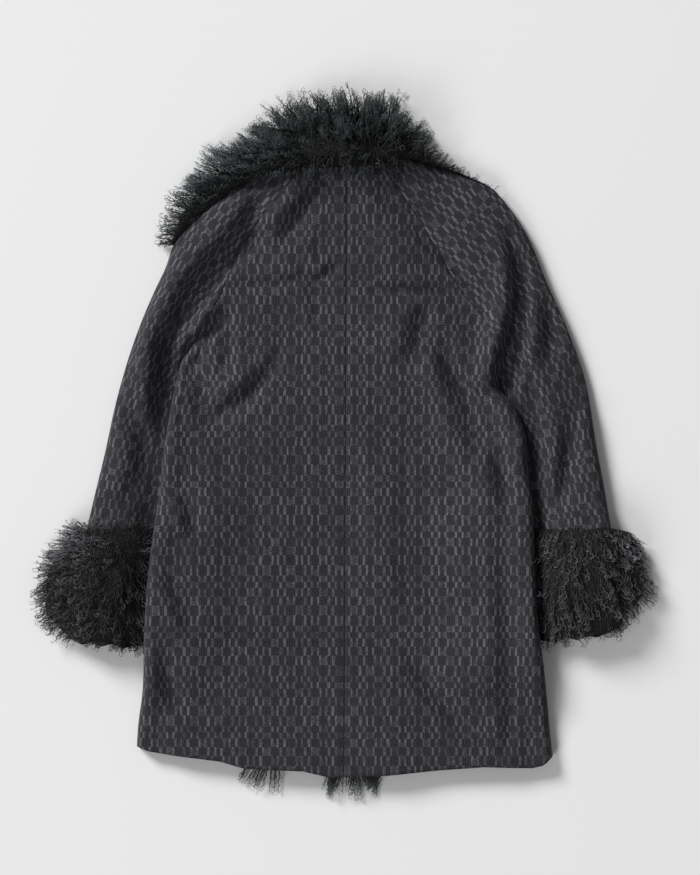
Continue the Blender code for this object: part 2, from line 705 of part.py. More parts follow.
def cuff_sections(side, back_rows, front_rows):
    """Rings of a cuff: the outer rings down its length, then the inner ones back up along the sleeve."""
    count = CUFF_ROWS + 1
    first = RAGLAN_ROWS + ARM_ROWS
    inner_line, outer_line, _ = sleeve_sections(side)
    rings = []
    for k in range(first, first + count):
        ring = list(back_rows[k]) + list(front_rows[k][::-1])
        rings.append(np.array(ring, float))
    down = rings[-1] - rings[-2]
    down /= np.linalg.norm(down.mean(axis=0))
    for extra in (0.5, 1.0):
        ring = rings[count - 1].copy()
        ring[:, :2] += down.mean(axis=0)[:2] * CUFF_PAST_SLEEVE * extra
        rings.append(ring)
    holes = [moved_out(ring, CUFF_GAP) for ring in rings]
    outers = []
    total = len(rings) - 1
    for k, ring in enumerate(rings):
        part = k / total
        reach, high = (table_at(CUFF[side.name], part, column) for column in (1, 2))
        inner = ring[np.argmin(side.sign * ring[:, 0])][:2]
        axis = ring[np.argmax(side.sign * ring[:, 0])][:2] - inner
        width = float(np.linalg.norm(axis))
        axis /= width
        start = inner - axis * CUFF_IN
        to_edge = side.sign * (x_at(side.edge_line, start[1]) - start[0])
        hidden = max(to_edge + 7.0, CUFF_LEAST_HIDDEN)
        profile = cuff_profile(hidden, CUFF_IN + width + reach, high)
        tip = down.mean(axis=0)[:2] * (CUFF_TIPS if k == total else -CUFF_TIPS if k == 0 else 0.0)
        outers.append(cuff_ring(profile, start, axis, part, len(ring), hidden, tip))
    return outers + holes[::-1]


def cuff_profile(hidden, span, high):
    """Outline of a cuff's section: over the tucked part, over the part that shows, and back below."""
    shown = span - hidden
    tucked = [(share * hidden, z) for share, z in CUFF_TUCKED]
    free = [(hidden + share * shown, tall * high) for share, tall in CUFF_SHOWN]
    under = [
        (span, CUFF_EDGE_Z), (span - CUFF_CORNER, 0.0), (span - 0.25 * shown, 0.0), (span - 0.6 * shown, 0.0),
        (hidden, 0.0), (0.5 * hidden, 0.0), (6.0, 0.0), (1.0, 2.0),
    ]
    return tucked + free + under


def cuff_ring(profile, start, axis, part, points, hidden, tip):
    """One outer ring of a cuff with as many points as the sleeve's own ring."""
    loop = np.array(profile + profile[:1], float)
    length = np.concatenate(([0.0], np.cumsum(np.linalg.norm(np.diff(loop, axis=0), axis=1))))
    at = np.linspace(0.0, length[-1], points + 1)[:-1]
    ring = []
    for i, place in enumerate(at):
        across_by = float(np.interp(place, length, loop[:, 0]))
        z = float(np.interp(place, length, loop[:, 1]))
        free = smooth((across_by - hidden - 4.0) / 14.0) * smooth((z - 8.0) / 12.0)
        z += CUFF_LOCK[0] * free * locks(i / points, part, 9, 0.7)
        across_by += CUFF_LOCK[1] * free * locks(part, i / points, 5, 2.1)
        x, y = start + axis * across_by + tip * free * (0.6 + 0.6 * locks(i / points, 0.3, 11, 2.9))
        ring.append((x, y, z))
    return ring


def moved_out(ring, distance):
    """A ring of points moved outward in the plane of its own section."""
    axis = ring[:, :2] - ring[0, :2]
    far = axis[np.argmax(np.linalg.norm(axis, axis=1))]
    far = far / np.linalg.norm(far)
    flat = np.stack((axis @ far, ring[:, 2]), axis=1)
    run = np.roll(flat, -1, axis=0) - np.roll(flat, 1, axis=0)
    square = np.stack((-run[:, 1], run[:, 0]), axis=1)
    square /= np.maximum(np.linalg.norm(square, axis=1), 1e-9)[:, None]
    moved = ring.copy()
    moved[:, :2] += np.outer(square[:, 0], far) * distance
    moved[:, 2] += square[:, 1] * distance
    return moved


def band_sections(name):
    """Rings round a front band, row by row from its tips to its top, as a slab with a ragged end."""
    edge_from, edge_run, edge_share = BAND_THIN
    runs = np.concatenate((BAND_FREE_ROWS, np.linspace(BAND_FREE, BAND_TOP_Y - BAND_END_Y, BAND_ROWS)))
    xs = np.linspace(*BAND_X[name], len(BAND_TIPS[name]))
    rows = []
    for run in runs:
        top, under = [], []
        for c, (x, tip) in enumerate(zip(xs, BAND_TIPS[name])):
            y = mix(tip, BAND_END_Y, smooth(run / BAND_FREE)) + run
            z = mix(BAND_TIP_Z, BAND_HIGH, smooth(run / BAND_TIP_RUN))
            ripple = smooth(run / 8.0) * (1.0 - smooth((run - 18.0) / 6.0))
            z = min(z + BAND_RIPPLE * ripple * math.sin(2.4 * c + 0.12 * run), BAND_HIGH)
            z *= 1.0 - edge_share * smooth((abs(x - CENTRE_FRONT_X) - edge_from) / edge_run)
            top.append((x, y, z))
            under.append((x, y, 0.0))
        rows.append(top + under[::-1])
    return rows


def fabric(name, colour, roughness):
    material = bpy.data.materials.new(name)
    material.use_nodes = True
    shader = material.node_tree.nodes["Principled BSDF"]
    shader.inputs["Base Color"].default_value = (*colour, 1.0)
    shader.inputs["Roughness"].default_value = roughness
    shader.inputs["Metallic"].default_value = 0.0
    material.diffuse_color = (*colour, 1.0)
    return material


def build():
    for old in list(bpy.data.objects):
        bpy.data.objects.remove(old, do_unlink=True)
    coat = bpy.data.collections.new("wool_coat")
    bpy.context.scene.collection.children.link(coat)
    for name in ("left", "right"):
        side = Side(name)
        back_rows, front_rows = sleeve_rows(side, True), sleeve_rows(side, False)
        pieces = (
            (f"back_{name}", body_rows(side, True), True, BACK_TONE),
            (f"front_{name}", body_rows(side, False), False, FRONT_TONE),
            (f"sleeve_{name}_back", back_rows, True, BACK_TONE),
            (f"sleeve_{name}_front", front_rows, False, FRONT_TONE),
        )
        for node, rows, faces_up, tone in pieces:
            panel(node, rows, faces_up, fabric(f"{node}_cloth", tone, CLOTH_ROUGH), coat)
        cuff, band = f"cuff_{name}", f"front_trim_{name}"
        rings = cuff_sections(side, back_rows, front_rows)
        closed_loft(cuff, rings, True, fabric(f"{cuff}_fur", FUR_TONE, FUR_ROUGH), coat)
        closed_loft(band, band_sections(name), False, fabric(f"{band}_fur", FUR_TONE, FUR_ROUGH), coat)
    closed_loft("collar", collar_sections(), False, fabric("collar_fur", FUR_TONE, FUR_ROUGH), coat)


build()
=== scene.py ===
"""Looks of the raglan wool coat that lies face down: woven cloth panels and long curly fur.

Lengths in the tables are millimetres. X runs across the coat, Y toward the collar, Z up.
"""

import math

import bmesh
import bpy
import numpy as np
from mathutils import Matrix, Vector
from mathutils.bvhtree import BVHTree

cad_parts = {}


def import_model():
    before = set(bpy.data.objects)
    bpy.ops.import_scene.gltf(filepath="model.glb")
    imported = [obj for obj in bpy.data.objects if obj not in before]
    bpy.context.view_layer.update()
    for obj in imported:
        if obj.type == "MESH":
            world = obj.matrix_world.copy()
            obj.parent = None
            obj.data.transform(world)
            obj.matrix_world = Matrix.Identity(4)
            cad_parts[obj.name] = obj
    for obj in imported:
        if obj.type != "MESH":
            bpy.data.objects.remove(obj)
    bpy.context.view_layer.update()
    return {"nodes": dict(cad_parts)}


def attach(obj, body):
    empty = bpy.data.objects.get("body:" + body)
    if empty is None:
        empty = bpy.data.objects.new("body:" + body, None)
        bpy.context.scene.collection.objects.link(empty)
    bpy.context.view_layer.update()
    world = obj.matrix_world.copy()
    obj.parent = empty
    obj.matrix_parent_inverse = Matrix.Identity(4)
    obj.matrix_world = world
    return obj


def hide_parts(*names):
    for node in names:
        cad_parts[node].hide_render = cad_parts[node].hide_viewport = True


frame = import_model()

MM = 0.001

# Cloth, seams and the way the layers lie, mostly as in the solids
CLOTH = 2.4
SEAM = 0.3
LAYER = 1.6
LOFT = 9.0
FLAT_SEAM = 4.0
STAND = 1.5
SIDE_ROLL = 10.0
SIDE_UNDER = 8.0
SIDE_SEAM_Z = 5.5
SIDE_BEAD = 4.5
BEAD_AT = 12.0
BEAD_WIDE = 15.0
ROOM_AT = 7.0
ROOM_WIDE = 16.0
OVER_ROLL = 16.0
OVER_SEAM_Z = 8.5
TUCK_ROLL = 5.0
TUCK_SEAM_Z = 4.5
TUCK_TOP = 9.0
TUCK_AT = 5.0
TUCK_WIDE = 14.0
OVER_WIDE = 20.0
DIP = 60.0
DIP_START = 6.0
BAND_HIGH = 8.3
BAND_WIDE = 105.0
BAND_SLOPE = 90.0
SLEEVE_LIFT = TUCK_TOP + 2.0
SLEEVE_SLOPE = 45.0
SLEEVE_IN = 12.0
BRIDGE = 8.0
BRIDGE_RUN = 60.0
SLEEVE_END = (-300.0, 60.0)
CUFF_LIFT = 18.0
CUFF_SLOPE = 100.0
CUFF_START = (92.0, 80.0)
CUFF_END = (-318.0, 90.0)
CUFF_IN = 12.0
CUFF_TOP_Y = -126.0
ARMPIT_RUN = 50.0
SHOULDER_RISE = 8.0
SLEEVE_RISE = 15.0
SLEEVE_SHOWS = (4.0, 40.0)
WRIST_START = (45.0, 70.0)
WRIST_TUCKED = 5.5
WRIST_FREE = 15.0
WRIST_SLOPE = (8.0, 60.0)
WRIST_ROUND = 4.0
CENTRE_BACK_X = (-2.0, 2.0)
CENTRE_BACK_Y = (-482.0, 394.0)
CENTRE_ARMPIT_Y = 88.0
CENTRE_FRONT_X = -43.0
FRONT_NECK_DROP = 70.0
FRONT_HEM_RISE = 4.0
FRONT_GAP = 1.0
BAND_CLEAR = 2.0
FIRST_STEP = 1.2
BODY_FLAT_RUN = (12.0, 16.0)      # of a front and of a back, where the raglan seam lies flat
SLEEVE_FLAT_RUN = (8.0, 12.0)     # of an under half and of a back half
CENTRE_STEPS = (2.4, 1.1, 0.0)
SLEEVE_CREASE_MOVE = 40.0
GRAIN_PAST_NECK = 60.0
WEAVE_START = {"left": 3.0, "right": -7.0}

# Steps down a panel, which its tables are drawn on
SIDE_ROWS = 14
RAGLAN_ROWS = 10
ARM_ROWS = 6
CUFF_ROWS = 6

# Soft groove where two panels are sewn together
GROOVE_DEEP = 1.3
GROOVE_WIDE = 2.2
PUCKER = 0.22
PUCKER_STEP = 13.0
PUCKER_WIDE = 6.0

HEM = (
    (-297, -439), (-280, -446), (-246, -451.5), (-178, -460), (-144, -470), (-59, -474), (-25, -482),
    (2, -482), (60, -480), (129, -473), (197, -468), (265, -470), (282, -466), (295, -453),
)

OUTLINE = {
    "left": {
        "raglan": ((-235, 107), (-211, 141), (-181, 195), (-154, 256), (-124, 306), (-90, 347), (-65, 386)),
        "edge": ((-297, -439), (-295, -408), (-289, -366), (-285, -259), (-278, -174), (-266, -89),
                 (-256, -4), (-246, 53), (-235, 107)),
        "overarm": ((-110, 374), (-146, 361), (-185, 337), (-221, 306), (-245, 274), (-255, 244),
                    (-271, 210), (-293, 158), (-324, 60), (-343, -25), (-360, -96), (-371, -150),
                    (-381, -217), (-386, -250)),
        "underarm": ((-235, 107), (-238, 56), (-233, 22), (-208, -34), (-211, -89), (-222, -153),
                     (-232, -217), (-238, -271)),
        "grain": ((-86, 386), (-140, 318), (-205, 225), (-262, 105), (-292, 0), (-310, -120), (-322, -300)),
        "shoulder_share": 0.45,
    },
    "right": {
        "raglan": ((219, 70), (214, 125), (197, 170), (164, 209), (136, 258), (107, 306),
                   (77, 351), (49, 391)),
        "edge": ((295, -453), (292, -430), (288, -387), (281, -323), (273, -259), (269, -174),
                 (265, -89), (260, -46), (255, 8), (239, 44), (219, 70)),
        "overarm": ((84, 400), (123, 388), (165, 374.5), (205, 356.5), (233, 327), (260, 284), (287, 219),
                    (315, 156), (339, 89), (357, -11), (371, -89), (381, -160), (386, -236)),
        "underarm": ((219, 70), (235, 41), (237, 8), (208, -38), (205, -103), (214, -174), (222, -266)),
        "grain": ((66, 400), (120, 330), (190, 245), (246, 130), (286, 10), (308, -120), (322, -300)),
        "shoulder_share": 0.48,
    },
}

# Folds, as start, middle and end of the line, half width, and height, which is below zero for a trough
FOLDS = (
    ((-110, 314), (-215, 214), (-252, 67), 18, -12),
    ((-121, 273), (-190, 200), (-242, 96), 11, 4.0),
    ((-178, 181), (-214, 138), (-232, 103), 7, -3.0),
    ((-205, 330), (-245, 262), (-262, 205), 16, 3.0),
    ((-114, 110), (-150, 60), (-200, 32), 13, -4.0),
    ((-171, 167), (-176, 125), (-178, 82), 11, -2.5),
    ((-143, 224), (-80, 229), (-22, 231), 6, -1.5),
    ((35, 214), (110, 210), (190, 209), 6, -1.5),
    ((-15, 380), (-58, 330), (-100, 273), 15, -3.5),
    ((-60, 372), (-100, 330), (-140, 290), 13, 2.5),
    ((14, 309), (113, 302), (190, 214), 13, -3.0),
    ((60, 270), (120, 262), (160, 225), 16, 2.5),
    ((234, 262), (243, 195), (222, 80), 12, -9),
    ((213, 240), (222, 180), (206, 120), 12, 3.5),
    ((283, 205), (285, 150), (283, 105), 13, -4.0),
    ((318, 60), (310, -30), (300, -103), 13, -4.5),
    ((99, 188), (97, 140), (92, 96), 18, -3.5),
    ((127, 167), (150, 70), (226, -89), 14, -5.0),
    ((185, 95), (218, 40), (240, -30), 14, 5.0),
    ((63, 11), (72, -100), (99, -224), 16, -0.9),
    ((30, 20), (38, -100), (60, -230), 18, 2.0),
    ((77, -309), (130, -360), (177, -408), 17, -1.4),
    ((-235, -80), (-222, -110), (-214, -140), 11, -3.0),
    ((-235, -210), (-226, -240), (-218, -275), 11, -3.0),
    ((-256, -309), (-249, -394), (-178, -422), 11, -1.8),
    ((-157, -259), (-100, -290), (-43, -323), 15, -2.0),
    ((198, -209), (226, -252), (219, -437), 12, -1.8),
    ((250, -250), (254, -340), (256, -440), 15, 2.0),
    ((-306, 50), (-296, 0), (-288, -56), 13, -4.5),
    ((-330, 0), (-322, -60), (-330, -110), 12, 3.0),
)

# Narrower creases over the folds, in the same terms
CREASES = (
    ((-130, 287), (-196, 238), (-250, 162), 11, -6.5),
    ((-250, 168), (-262, 107), (-248, 10), 14, -9),
    ((-121, 346), (-138, 316), (-155, 286), 8, -2.5),
    ((-19, 377), (-58, 333), (-104, 269), 8, -3.2),
    ((-79, 346), (-104, 312), (-127, 283), 9, 2.2),
    ((-138, 357), (-170, 329), (-204, 297), 13, 3.5),
    ((-161, 184), (-198, 150), (-236, 94), 9, -8),
    ((-195, 198), (-224, 160), (-242, 121), 9, 3),
    ((-102, 141), (-116, 89), (-190, 35), 8, -3),
    ((-175, 218), (-119, 217), (-60, 225), 6, -2.4),
    ((-50, 225), (-28, 234), (-12, 249), 6.5, -3.2),
    ((-173, 150), (-171, 113), (-188, 59), 7, -1.8),
    ((-49, 283), (-42, 261), (-35, 244), 6, -1.8),
    ((-60, 218), (-46, 188), (-43, 147), 6.5, -1.7),
    ((29, 215), (84, 211), (140, 215), 6.5, -1.8),
    ((103, 300), (144, 255), (204, 204), 7.5, -3.4),
    ((116, 195), (100, 160), (90, 104), 9, -2.6),
    ((133, 138), (143, 93), (188, 42), 9, -3),
    ((185, 48), (212, -6), (224, -123), 8.5, -3.2),
    ((221, 306), (239, 238), (242, 167), 7.5, -5.5),
    ((244, 180), (232, 124), (217, 56), 13, -13),
    ((269, 198), (285, 155), (275, 90), 8, -2.4),
    ((249, 113), (262, 65), (265, 13), 7, -2.8),
    ((263, 22), (263, -18), (256, -60), 8, -5),
    ((310, 13), (306, -53), (286, -141), 7.5, -3.2),
    ((302, -104), (339, -110), (371, -123), 6, -3),
    ((-239, -83), (-226, -106), (-219, -143), 6, -2.8),
    ((-251, -185), (-242, -231), (-221, -276), 7.5, -2.4),
    ((-259, -285), (-251, -359), (-211, -405), 8.5, -1.9),
    ((-215, -403), (-190, -418), (-153, -413), 7, -2),
    ((215, -111), (222, -259), (226, -378), 9, -1.4),
    ((226, -370), (228, -422), (214, -458), 7.5, -2.4),
    ((77, 2), (83, -60), (79, -123), 8.5, -0.8),
    ((65, -148), (77, -195), (82, -248), 8.5, -0.8),
    ((80, -295), (123, -366), (182, -428), 9, -2.8),
    ((-198, -255), (-129, -288), (-45, -326), 8.5, -1.8),
    ((238, -40), (246, -117), (245, -208), 9, 2.2),
    ((-303, 16), (-296, -46), (-332, -99), 9, -2.2),
    ((-90, -143), (-80, -163), (-76, -185), 7, -1.6),
)

# A trough falls slowly from a soft bank on its upper left and rises fast on its lower right
CREASED = 1.35    # how much deeper the folds of the looks are than the solids'
BANK = 0.85       # share of the trough's depth that the bank rises
BANK_AT = 2.7     # its distance from the trough, in half widths
SLOW, FAST = 1.45, 0.7
SHIFT = 0.9       # the drawn line lies on the slow side
UNDER_CREASE = 1.2   # depth of the creases on the hidden sides


def soft_step(value):
    """Soft step from 0 to 1."""
    value = np.clip(value, 0.0, 1.0)
    return value * value * (3.0 - 2.0 * value)


def past(value, start, run):
    """Soft step from 0 to 1 over a run that begins at start."""
    return soft_step((value - start) / run)


def before(value, end, run):
    """Soft step from 1 to 0 over a run that stops at end."""
    return soft_step((end - value) / run)


def mix(first, second, share):
    return first + (second - first) * share


def hump(distance, middle, width):
    """Soft hump of height 1 across a seam or a fold."""
    return np.exp(-(((distance - middle) / width) ** 2))


def on_line(points, shares):
    """Places on a smooth line through the given points, at shares of its length."""
    points = np.asarray(points, float)
    length = np.concatenate(([0.0], np.cumsum(np.linalg.norm(np.diff(points, axis=0), axis=1))))
    slope = np.gradient(points, length, axis=0)
    at = np.clip(np.asarray(shares, float), 0.0, 1.0) * length[-1]
    k = np.clip(np.searchsorted(length, at, side="right") - 1, 0, len(points) - 2)
    step = length[k + 1] - length[k]
    t = ((at - length[k]) / step)[..., None]
    step = step[..., None]
    return (
        (2 * t**3 - 3 * t**2 + 1) * points[k]
        + (t**3 - 2 * t**2 + t) * step * slope[k]
        + (3 * t**2 - 2 * t**3) * points[k + 1]
        + (t**3 - t**2) * step * slope[k + 1]
    )


def x_at(points, y):
    """X of an edge at height y."""
    rows = sorted(points, key=lambda place: place[1])
    return np.interp(y, [p[1] for p in rows], [p[0] for p in rows])


def hem_y(x):
    return np.interp(x, [p[0] for p in HEM], [p[1] for p in HEM])


def unit(vectors):
    return vectors / np.maximum(np.linalg.norm(vectors, axis=-1, keepdims=True), 1e-9)


def nearest_on(line, x, y):
    """Distance to a line of plan points, share of its length there, and side of it."""
    shape = np.shape(x)
    spots = np.stack((np.ravel(x), np.ravel(y)), axis=1)
    first, run = line[:-1], np.diff(line, axis=0)
    size = np.linalg.norm(run, axis=1)
    start = np.concatenate(([0.0], np.cumsum(size)))
    offset = spots[:, None, :] - first[None]
    t = np.clip((offset * run).sum(-1) / (size**2), 0.0, 1.0)
    gap = offset - run * t[..., None]
    distance = np.linalg.norm(gap, axis=2)
    k = distance.argmin(axis=1)
    pick = np.arange(len(k))
    along = start[k] + t[pick, k] * size[k]
    turn = run[k, 0] * gap[pick, k, 1] - run[k, 1] * gap[pick, k, 0]
    return (
        distance[pick, k].reshape(shape),
        along.reshape(shape),
        np.sign(turn).reshape(shape),
        start[-1],
    )


def bent_line(start, middle, end):
    steps = np.linspace(0.0, 1.0, 13)[:, None]
    start, middle, end = (np.array(place, float) for place in (start, middle, end))
    control = 2.0 * middle - 0.5 * (start + end)
    return (1 - steps) ** 2 * start + 2 * steps * (1 - steps) * control + steps**2 * end


FOLD_LINES = [(bent_line(*row[:3]), row[3], row[4]) for row in FOLDS + CREASES]


def folds(x, y):
    """Height that the folds add at each place."""
    total = np.zeros(np.shape(x))
    for line, width, height in FOLD_LINES:
        distance, along, turn, length = nearest_on(line, x, y)
        taper = 1.0 - np.abs(2.0 * along / length - 1.0) ** 3
        if height > 0.0:
            total += height * taper * hump(distance, 0.0, width)
            continue
        taper = taper * CREASED
        downhill = -turn * np.sign((line[-1] - line[0]).sum())
        across = distance * downhill - SHIFT * width
        fall = hump(across, 0.0, np.where(across < 0.0, SLOW, FAST) * width)
        total += height * taper * (fall - BANK * hump(across, -BANK_AT * width, SLOW * width))
    return total


def under_creases(x, y):
    """Shallow creases that the hidden cloth keeps where the coat's weight presses it flat."""
    return UNDER_CREASE * soft_step(-folds(x, y) / 6.0)


def ease(x, y):
    """Slight waves of cloth that isn't pressed."""
    return (
        0.45 * np.sin(x / 23.0 + 1.3 * np.sin(y / 61.0))
        + 0.40 * np.sin(y / 31.0 + 1.7 * np.sin(x / 47.0) + 0.8)
        + 0.30 * np.sin((x + y) / 17.0 + 1.1 * np.sin((x - y) / 39.0))
    )


def band_lift(x):
    past_band = np.abs(x - CENTRE_FRONT_X) - BAND_WIDE
    return (BAND_HIGH + SEAM) * (1.0 - past(past_band, BAND_CLEAR, BAND_SLOPE))


def body_lift(side, x, y):
    """Underside of the fronts: what the body lies on, blended softly."""
    inside = side.sign * (x_at(side.outline["underarm"], y) - x)
    arm = SLEEVE_LIFT * (1.0 - past(inside, SLEEVE_IN, SLEEVE_SLOPE))
    arm = arm * before(y, side.armpit[1] + 2.0, ARMPIT_RUN) * (1.0 - before(y, *SLEEVE_END))
    cuff = CUFF_LIFT * (1.0 - past(inside, CUFF_IN + SLEEVE_IN, CUFF_SLOPE))
    cuff = cuff * before(y, CUFF_TOP_Y + CUFF_START[0], CUFF_START[1]) * (1.0 - before(y, *CUFF_END))
    return np.cbrt(band_lift(x) ** 3 + arm**3 + cuff**3)


def top_of(lift, x, y):
    """Upper face of the back over a given lift."""
    lowest = lift + 2.0 * CLOTH + LAYER
    return np.maximum(lowest, lowest + LOFT + folds(x, y) + ease(x, y))


def groove(distance):
    return GROOVE_DEEP * hump(distance, 0.0, GROOVE_WIDE)


def pucker(along):
    return PUCKER * np.sin(2.0 * np.pi * along / PUCKER_STEP)


class Side:
    """The shared lines of one side: body edge, raglan seam and sleeve edges."""

    def __init__(self, name):
        outline = OUTLINE[name]
        self.name = name
        self.outline = outline
        self.sign = -1.0 if name == "left" else 1.0
        self.armpit = np.array(outline["raglan"][0], float)
        fine = np.linspace(0.0, 1.0, 201)
        under = on_line(outline["underarm"], fine)
        over = on_line(outline["overarm"], mix(outline["shoulder_share"], 1.0, fine))
        self.cuff_under = np.interp(-CUFF_TOP_Y, -under[:, 1], fine)
        self.cuff_over = np.interp(-CUFF_TOP_Y, -over[:, 1], fine)

    def raglan_share(self, step):
        table = np.concatenate(((0.0,), np.linspace(0.03, 1.0, RAGLAN_ROWS)))
        return np.interp(step, np.arange(RAGLAN_ROWS + 1), table)

    def raglan(self, step):
        return on_line(self.outline["raglan"], self.raglan_share(step))

    def raglan_heights(self, spots):
        """Heights of the back and front raglan seams, and how far the cloth is rolled there."""
        x, y = spots[:, 0], spots[:, 1]
        from_armpit = np.linalg.norm(spots - self.armpit, axis=1)
        share = (1.0 - np.minimum(from_armpit / DIP, 1.0)) ** 2
        lift = band_lift(x)
        rolled = 1.0 - past(from_armpit, DIP_START, DIP)
        sewn = (1.0 - rolled) * (GROOVE_DEEP - pucker(from_armpit))
        top = mix(top_of(lift, x, y) - sewn, SIDE_SEAM_Z + SEAM / 2, share)
        return top, mix(lift, SIDE_SEAM_Z - SEAM / 2, share), rolled


def set_apart(edge, line, far, sewn):
    """A panel's edge, moved half a seam's width toward its far side where it is sewn to a neighbour."""
    run = unit(np.gradient(line, axis=0))
    square = np.stack((-run[:, 1], run[:, 0]), axis=1)
    square *= np.sign(((far - edge) * square).sum(axis=1))[:, None]
    return edge + np.where(sewn, 0.5 * SEAM, 0.0)[:, None] * square


def roll_part(flat_run, reach, turn, rolled):
    """How far the points of an edge's roll lie from the seam."""
    return mix(mix(FIRST_STEP, flat_run, turn / (np.pi / 2)), reach * (1.0 - np.cos(turn)), rolled)


def roll_heights(flat, seam_z, sign, turn, rolled=1.0):
    """Heights of an edge's roll, from just off the seam to the flat cloth."""
    start = mix(flat, seam_z + sign * STAND, rolled)
    return mix(flat, start + (flat - start) * np.sin(turn), rolled)


def body_panel(side, top, rows, angles, columns):
    """Grid of places on the outer face of a back (top) or a front, from the side to the centre."""
    k = np.asarray(rows, float)
    below = k <= SIDE_ROWS
    seam_step = np.clip(k - SIDE_ROWS, 0.0, RAGLAN_ROWS)
    edge = on_line(side.outline["edge"], k / SIDE_ROWS)
    outer = np.where(below[:, None], edge, side.raglan(seam_step))
    if top:
        y_hem, y_neck, x_hem, x_neck = (*CENTRE_BACK_Y, *CENTRE_BACK_X)
        offset = side.sign * SEAM / 2
    else:
        y_hem, y_neck = CENTRE_BACK_Y[0] + FRONT_HEM_RISE, CENTRE_BACK_Y[1] - FRONT_NECK_DROP
        x_hem = x_neck = CENTRE_FRONT_X
        offset = side.sign * FRONT_GAP
    y_below = mix(y_hem, CENTRE_ARMPIT_Y, k / SIDE_ROWS)
    y = np.where(below, y_below, mix(CENTRE_ARMPIT_Y, y_neck, seam_step / RAGLAN_ROWS))
    centre = np.stack((mix(x_hem, x_neck, (y - y[0]) / (y[-1] - y[0])) + offset, y), axis=1)
    outer = set_apart(outer, outer, centre, k >= SIDE_ROWS)
    width = np.linalg.norm(centre - outer, axis=1)[:, None]
    inward = (centre - outer) / width
    seam_top, seam_under, rolled = side.raglan_heights(side.raglan(seam_step))
    rolled = np.where(below, 1.0, rolled)[:, None]
    reach = SIDE_ROLL if top else SIDE_UNDER
    sign = 1.0 if top else -1.0
    side_z = body_lift(side, outer[:, 0], outer[:, 1]) + SIDE_SEAM_Z + sign * SEAM / 2
    seam_z = np.where(below, side_z, seam_top if top else seam_under)[:, None]

    flat_run = BODY_FLAT_RUN[top]
    turn = np.radians(np.asarray(angles, float))[None, :]
    first = mix(flat_run, reach, rolled)
    last = width - (FLAT_SEAM if top else 0.0)
    main_part = first + (last - first) * np.linspace(0.0, 1.0, columns + 1)[None, 1:]
    parts = [np.zeros_like(width), roll_part(flat_run, reach, turn, rolled), main_part]
    if top:
        parts.append(width - np.array(CENTRE_STEPS)[None])
    distance = np.concatenate(parts, axis=1)
    x = outer[:, :1] + inward[:, :1] * distance
    y = outer[:, 1:] + inward[:, 1:] * distance
    bend = ((1.0 - past(k, 1.0, 2.0)) ** 2)[:, None]
    straight_hem = mix(outer[0, 1], CENTRE_BACK_Y[0], np.minimum(distance / width, 1.0))
    at_edge = hem_y(outer[:, 0])[:, None] - outer[0, 1]
    y = y + bend * (hem_y(x) - straight_hem - at_edge)

    lift = body_lift(side, x, y)
    if top:
        # the back spans the hollows between the bands and the sleeves that it lies over
        lift = np.cbrt(lift**3 + (BRIDGE * past(distance, reach, BRIDGE_RUN)) ** 3)
        bead = rolled * SIDE_BEAD * hump(distance, BEAD_AT, BEAD_WIDE)
        room = rolled * (LOFT + SIDE_BEAD) * hump(distance, ROOM_AT, ROOM_WIDE)
        flat_z = np.maximum(top_of(lift, x, y) + bead, lift + 2.0 * CLOTH + LAYER + room)
        flat_z = flat_z - groove(width - distance) - (1.0 - rolled) * groove(distance)
        flat_z += pucker(y) * hump(width - distance, 0.0, PUCKER_WIDE)
    else:
        flat_z = lift + under_creases(-x, y)
    roll = slice(1, len(angles) + 1)
    z = flat_z.copy()
    z[:, :1] = seam_z
    z[:, roll] = roll_heights(flat_z[:, roll], seam_z, sign, turn, rolled)
    return np.stack((x, y, z), axis=2)


